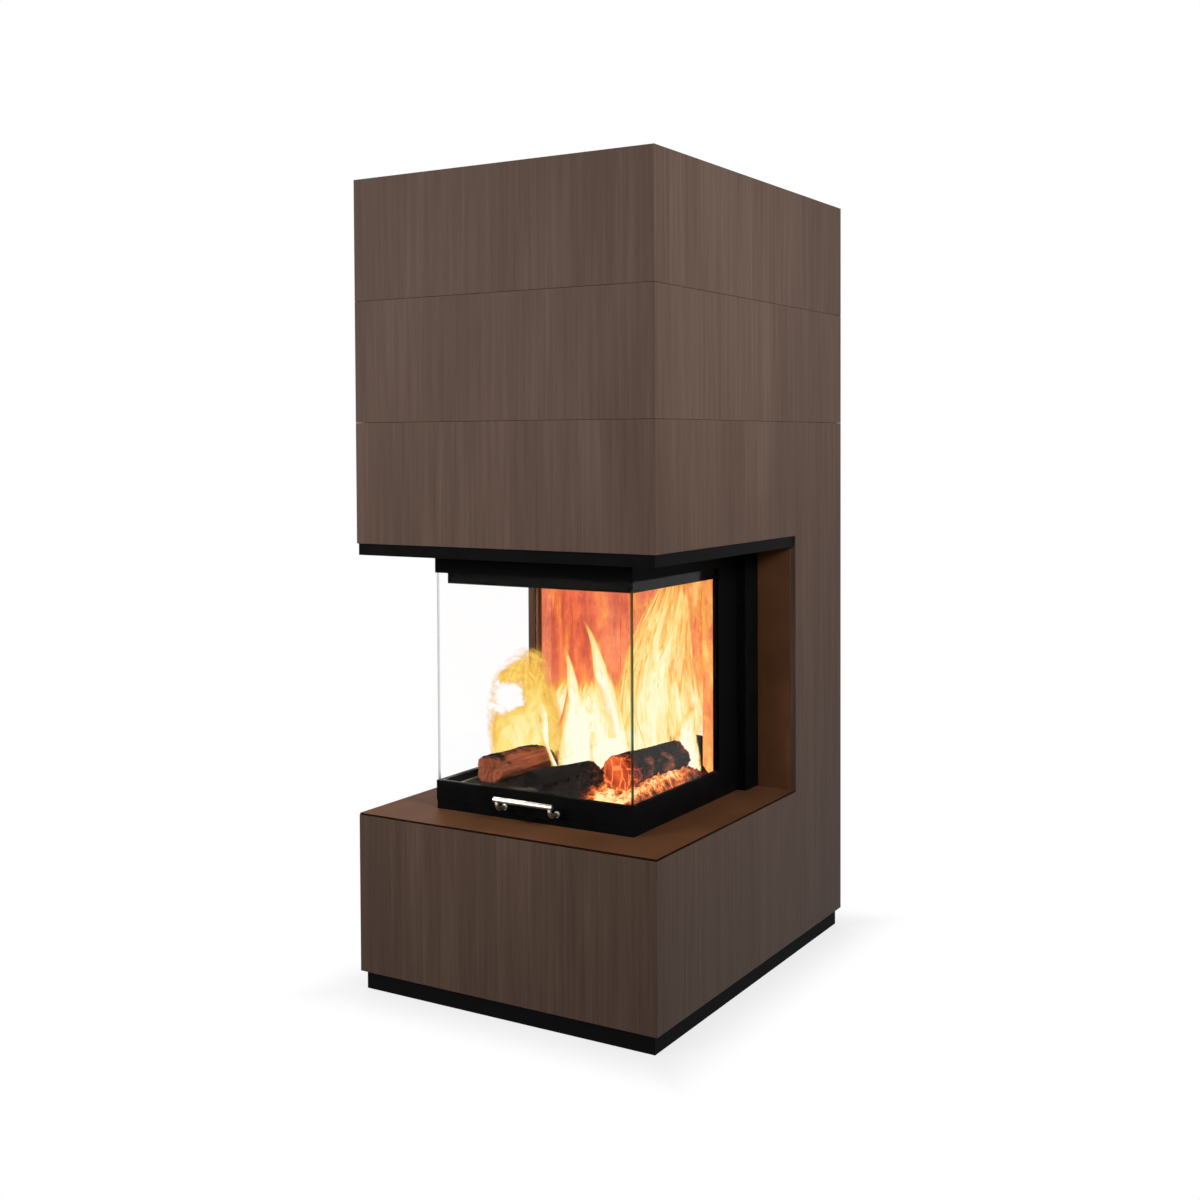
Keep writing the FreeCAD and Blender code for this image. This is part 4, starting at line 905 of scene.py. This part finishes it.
class FireplaceStage(bpy.types.PropertyGroup):
    """Camera and lamps."""

    camera_x: length_setting("Camera X", "Camera to the right of the middle", 1.6777)
    camera_y: length_setting("Camera Y", "Camera behind the middle, in front below zero", -2.8528)
    camera_z: length_setting("Camera Z", "Camera above the floor", 1.1445)
    yaw: angle_setting("Yaw", "Turn of the view to the left", 0.5407)
    pitch: angle_setting("Pitch", "Tilt of the view downwards", 0.03)
    roll: angle_setting("Roll", "Turn of the view about its axis", 0.0047)
    lens: number_setting("Lens", "Focal length in millimetres", 44.76, unit="CAMERA")
    shift: number_setting("Shift", "Upright shift, in picture widths", -0.0938)
    key: lamp_setting("Key", "Large lamp on the right", 10.2)
    fill: lamp_setting("Fill", "Large lamp on the left", 9.5)
    rear: lamp_setting("Rear", "Large lamp behind", 10)
    sky: number_setting("Sky", "Even light from all round", 0.22)
    floor_radius: length_setting("Floor", "Radius of the floor", 14.0)


# Operators


class FireplaceOperator(bpy.types.Operator):
    """Base of the fireplace's operators."""

    bl_options = {"REGISTER", "UNDO"}


class FIREPLACE_OT_casing(FireplaceOperator):
    """Finish the casing: slabs, boards, plinth and painted sheet."""

    bl_idname = "fireplace.casing"
    bl_label = "Finish casing"

    def execute(self, context):
        look = context.scene.fireplace_finishes
        dress(streaked_cladding(look), CLADDING)
        dress(backing_board(look), BACKING)
        dress(black_plinth(look), ("plinth",))
        dress(brown_paint(look), BROWN_SHEET)
        return {"FINISHED"}


class FIREPLACE_OT_insert(FireplaceOperator):
    """Finish the insert: painted steel, lining, handle and counterbalance."""

    bl_idname = "fireplace.insert"
    bl_label = "Finish insert"

    def execute(self, context):
        look = context.scene.fireplace_finishes
        dress(black_paint(look), BLACK_STEEL)
        dress(scorched_paint(look), FIRELIT_STEEL)
        dress(flue_paint(look), FLUE_STEEL)
        dress(fire_lining(look), PLAIN_LINING)
        dress(lit_lining(look), LIT_LINING)
        dress(brushed_steel(look), BRIGHT_STEEL)
        dress(cast_iron(look), CAST_IRON)
        dress(woven_seal(look), ("door_seal",))
        return {"FINISHED"}


class FIREPLACE_OT_glass(FireplaceOperator):
    """Glaze the door's three panes."""

    bl_idname = "fireplace.glass"
    bl_label = "Glaze door"

    def execute(self, context):
        dress(clear_pane(context.scene.fireplace_finishes), PANES)
        return {"FINISHED"}


class FIREPLACE_OT_ropes(FireplaceOperator):
    """Lay the wire ropes of the counterbalance over its pulleys."""

    bl_idname = "fireplace.ropes"
    bl_label = "Run ropes"

    def execute(self, context):
        finish = wire_rope(context.scene.fireplace_finishes)
        door_low, door_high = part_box("rope_door_runs")
        weight_low, weight_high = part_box("rope_weight_runs")
        radius = (door_high.y - door_low.y) / 2
        front, rear = door_low.y + radius, weight_low.y + radius
        plane = door_high.x - radius
        top = door_high.z
        lift = next(joint for joint in frame["joints"] if joint["name"] == "door_lift")
        # What is left of the door's run when the door is up, as a share
        left = (top - door_low.z - lift["range_m"][1]) / (top - door_low.z)
        for side, x in (("left", -plane), ("right", plane)):
            surfaces = {
                "door": straight_rope(x, front, door_low.z, top, radius),
                "weight": straight_rope(x, rear, weight_low.z, weight_high.z, radius),
                "pulley": wrapped_rope(x, (front + rear) / 2, top, (rear - front) / 2, radius),
            }
            door_run, weight_run, wrap = (
                grid_piece(f"{run}_rope_{side}", points, finish, True) for run, points in surfaces.items()
            )
            for piece, node in (
                (door_run, "rope_door_runs"), (weight_run, "rope_weight_runs"), (wrap, "rope_wraps")
            ):
                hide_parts(node)
            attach(wrap, ROOT)
            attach(door_run, ROOT)
            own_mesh(door_run)
            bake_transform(weight_run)
        return {"FINISHED"}


class FIREPLACE_OT_logs(FireplaceOperator):
    """Lay four burning logs over their solids."""

    bl_idname = "fireplace.logs"
    bl_label = "Lay logs"

    def execute(self, context):
        finish = burning_wood(context.scene.fireplace_finishes)
        for name, log in LOGS.items():
            make_log(name, log, finish, context.scene.fireplace_fire.bark_depth)
        return {"FINISHED"}


class FIREPLACE_OT_embers(FireplaceOperator):
    """Spread ash and embers on the floor bricks."""

    bl_idname = "fireplace.embers"
    bl_label = "Spread embers"

    def execute(self, context):
        make_embers(ember_bed(), context.scene.fireplace_fire.ember_height)
        return {"FINISHED"}


class FIREPLACE_OT_flames(FireplaceOperator):
    """Light the flames: a curl on the left, tongues in the middle and a tall blaze on the right."""

    bl_idname = "fireplace.flames"
    bl_label = "Light flames"

    def execute(self, context):
        strength = context.scene.fireplace_fire.strength
        finishes = {
            title: flame_finish(f"flame_{title}", look, strength) for title, look in FLAME_LOOKS.items()
        }
        for name, flame in FLAMES.items():
            make_flame(name, flame, finishes[flame.look])
        return {"FINISHED"}


# Stage

LAMP_SIZE = 1.6
Lamp = namedtuple("Lamp", "place target spread")  # the spread of its beam in degrees
LAMPS = {
    "key": Lamp((3.1, -1.0, 2.7), (0, -0.1, 1.28), 41),
    "fill": Lamp((-1.9, -3.3, 2.1), (0, 0, 0.95), 50),
    "rear": Lamp((-2.5, 2.7, 2.4), (0, 0, 1.05), 50),
}
FLOOR_DROP = 0.0005  # below the plinth's underside
FLOOR_DARK = (0.22, 0.21, 0.20)  # what the floor throws back on the object
FLOOR_PALE = ((0.3, (0.78, 0.78, 0.78)), (0.7, (0.82, 0.82, 0.82)))
SHADOW_REACH = 0.15  # from the plinth to plain white
SHADOW_SHARE = 0.22  # of the floor's own light in what is seen of it close to the plinth


class FIREPLACE_OT_stage(FireplaceOperator):
    """Set the floor, the lamps, the white surroundings and the camera."""

    bl_idname = "fireplace.stage"
    bl_label = "Set stage"

    def execute(self, context):
        scene = context.scene
        stage = scene.fireplace_stage
        self.lay_floor(stage)
        self.light_sky(scene, stage)
        for name, lamp in LAMPS.items():
            self.add_lamp(scene, f"{name}_lamp", lamp, getattr(stage, name))
        self.add_camera(scene, stage)
        scene.view_settings.view_transform = "Standard"
        return {"FINISHED"}

    @staticmethod
    def lay_floor(stage):
        """Round pale floor, whose colour runs out to plain white away from the object.

        It is a disc of rings: with s from 0 to 1, a ring's radius is the floor's radius times s^2.
        """
        finish = Finish("pale_floor", {"Specular IOR Level": 0.0, "Roughness": 0.9})
        place = finish.place()
        pale = finish.ramp(finish.noise(place, 40, 3), *FLOOR_PALE)
        seen = finish.seen()
        finish.set({"Base Color": finish.mix(seen, FLOOR_DARK, pale)})
        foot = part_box("plinth")[1]
        beside, before = abs(finish.part(place, 0)) - foot.x, abs(finish.part(place, 1)) - foot.y
        away = beside.larger(before).step(0.0, SHADOW_REACH)
        white = finish.node("ShaderNodeEmission", None, {"Color": WHITE, "Strength": 1})
        share = seen * (1 - SHADOW_SHARE + SHADOW_SHARE * away)
        shader = Wire(finish, finish.shader.outputs[0])
        mixed = finish.node("ShaderNodeMixShader", None, {0: share, 1: shader, 2: white})
        finish.feed(finish.tree.nodes["Material Output"], {"Surface": mixed})
        rings, spokes = 24, 96
        ring = np.linspace(0, 1, rings)[:, None] ** 2 * stage.floor_radius
        turn = np.linspace(0, TURN, spokes, endpoint=False)[None, :]
        points = np.stack([ring * np.cos(turn), ring * np.sin(turn), 0 * ring * turn - FLOOR_DROP], -1)
        grid_piece("floor", points, finish, True)

    @staticmethod
    def light_sky(scene, stage):
        """Even light on the object, and plain white where it is looked at."""
        world = bpy.data.worlds.new("surroundings")
        scene.world = world
        world.use_nodes = True
        sky = Nodes(world.node_tree)
        plain = sky.tree.nodes["Background"]
        sky.feed(plain, {"Color": WHITE, "Strength": stage.sky})
        white = sky.node("ShaderNodeBackground", None, {"Color": WHITE, "Strength": 1})
        lit = Wire(sky, plain.outputs[0])
        mixed = sky.node("ShaderNodeMixShader", None, {0: sky.seen(), 1: lit, 2: white})
        sky.feed(sky.tree.nodes["World Output"], {"Surface": mixed})

    @staticmethod
    def add_lamp(scene, name, lamp, power):
        """Square soft lamp with a narrowed beam that looks at its target."""
        light = bpy.data.lights.new(name, "AREA")
        light.size = LAMP_SIZE
        light.spread = math.radians(lamp.spread)
        light.energy = power
        thing = bpy.data.objects.new(name, light)
        scene.collection.objects.link(thing)
        thing.location = lamp.place
        aim = Vector(lamp.target) - Vector(lamp.place)
        thing.rotation_euler = aim.to_track_quat("-Z", "Y").to_euler()

    @staticmethod
    def add_camera(scene, stage):
        """Camera from its place and three turns: yaw about Z, pitch down, roll about the view."""
        lens = bpy.data.cameras.new("camera")
        lens.lens = stage.lens
        lens.shift_y = stage.shift
        camera = bpy.data.objects.new("camera", lens)
        scene.collection.objects.link(camera)
        place = Matrix.Translation((stage.camera_x, stage.camera_y, stage.camera_z))
        ahead = Matrix.Rotation(stage.yaw, 4, "Z") @ Matrix.Rotation(math.pi / 2 - stage.pitch, 4, "X")
        camera.matrix_world = place @ ahead @ Matrix.Rotation(-stage.roll, 4, "Z")
        scene.camera = camera


class FIREPLACE_PT_panel(bpy.types.Panel):
    """Buttons and settings of the fireplace."""

    bl_label = "Fireplace"
    bl_idname = "FIREPLACE_PT_panel"
    bl_space_type = "VIEW_3D"
    bl_region_type = "UI"
    bl_category = "Fireplace"

    def draw(self, context):
        for operator in OPERATORS:
            self.layout.operator(operator.bl_idname)
        for title in SETTINGS:
            group = getattr(context.scene, title)
            for name in group.bl_rna.properties.keys():
                if name not in ("rna_type", "name"):
                    self.layout.prop(group, name)


SETTINGS = {
    "fireplace_finishes": FireplaceFinishes,
    "fireplace_fire": FireplaceFire,
    "fireplace_stage": FireplaceStage,
}
OPERATORS = (
    FIREPLACE_OT_casing,
    FIREPLACE_OT_insert,
    FIREPLACE_OT_glass,
    FIREPLACE_OT_ropes,
    FIREPLACE_OT_logs,
    FIREPLACE_OT_embers,
    FIREPLACE_OT_flames,
    FIREPLACE_OT_stage,
)


def register():
    for group in (*SETTINGS.values(), *OPERATORS, FIREPLACE_PT_panel):
        bpy.utils.register_class(group)
    for title, group in SETTINGS.items():
        setattr(bpy.types.Scene, title, bpy.props.PointerProperty(type=group))


def unregister():
    for title in SETTINGS:
        delattr(bpy.types.Scene, title)
    for group in (FIREPLACE_PT_panel, *reversed(OPERATORS), *SETTINGS.values()):
        bpy.utils.unregister_class(group)


def main():
    """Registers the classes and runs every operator."""
    register()
    for operator in OPERATORS:
        group, name = operator.bl_idname.split(".")
        getattr(getattr(bpy.ops, group), name)()


if __name__ == "__main__":
    main()
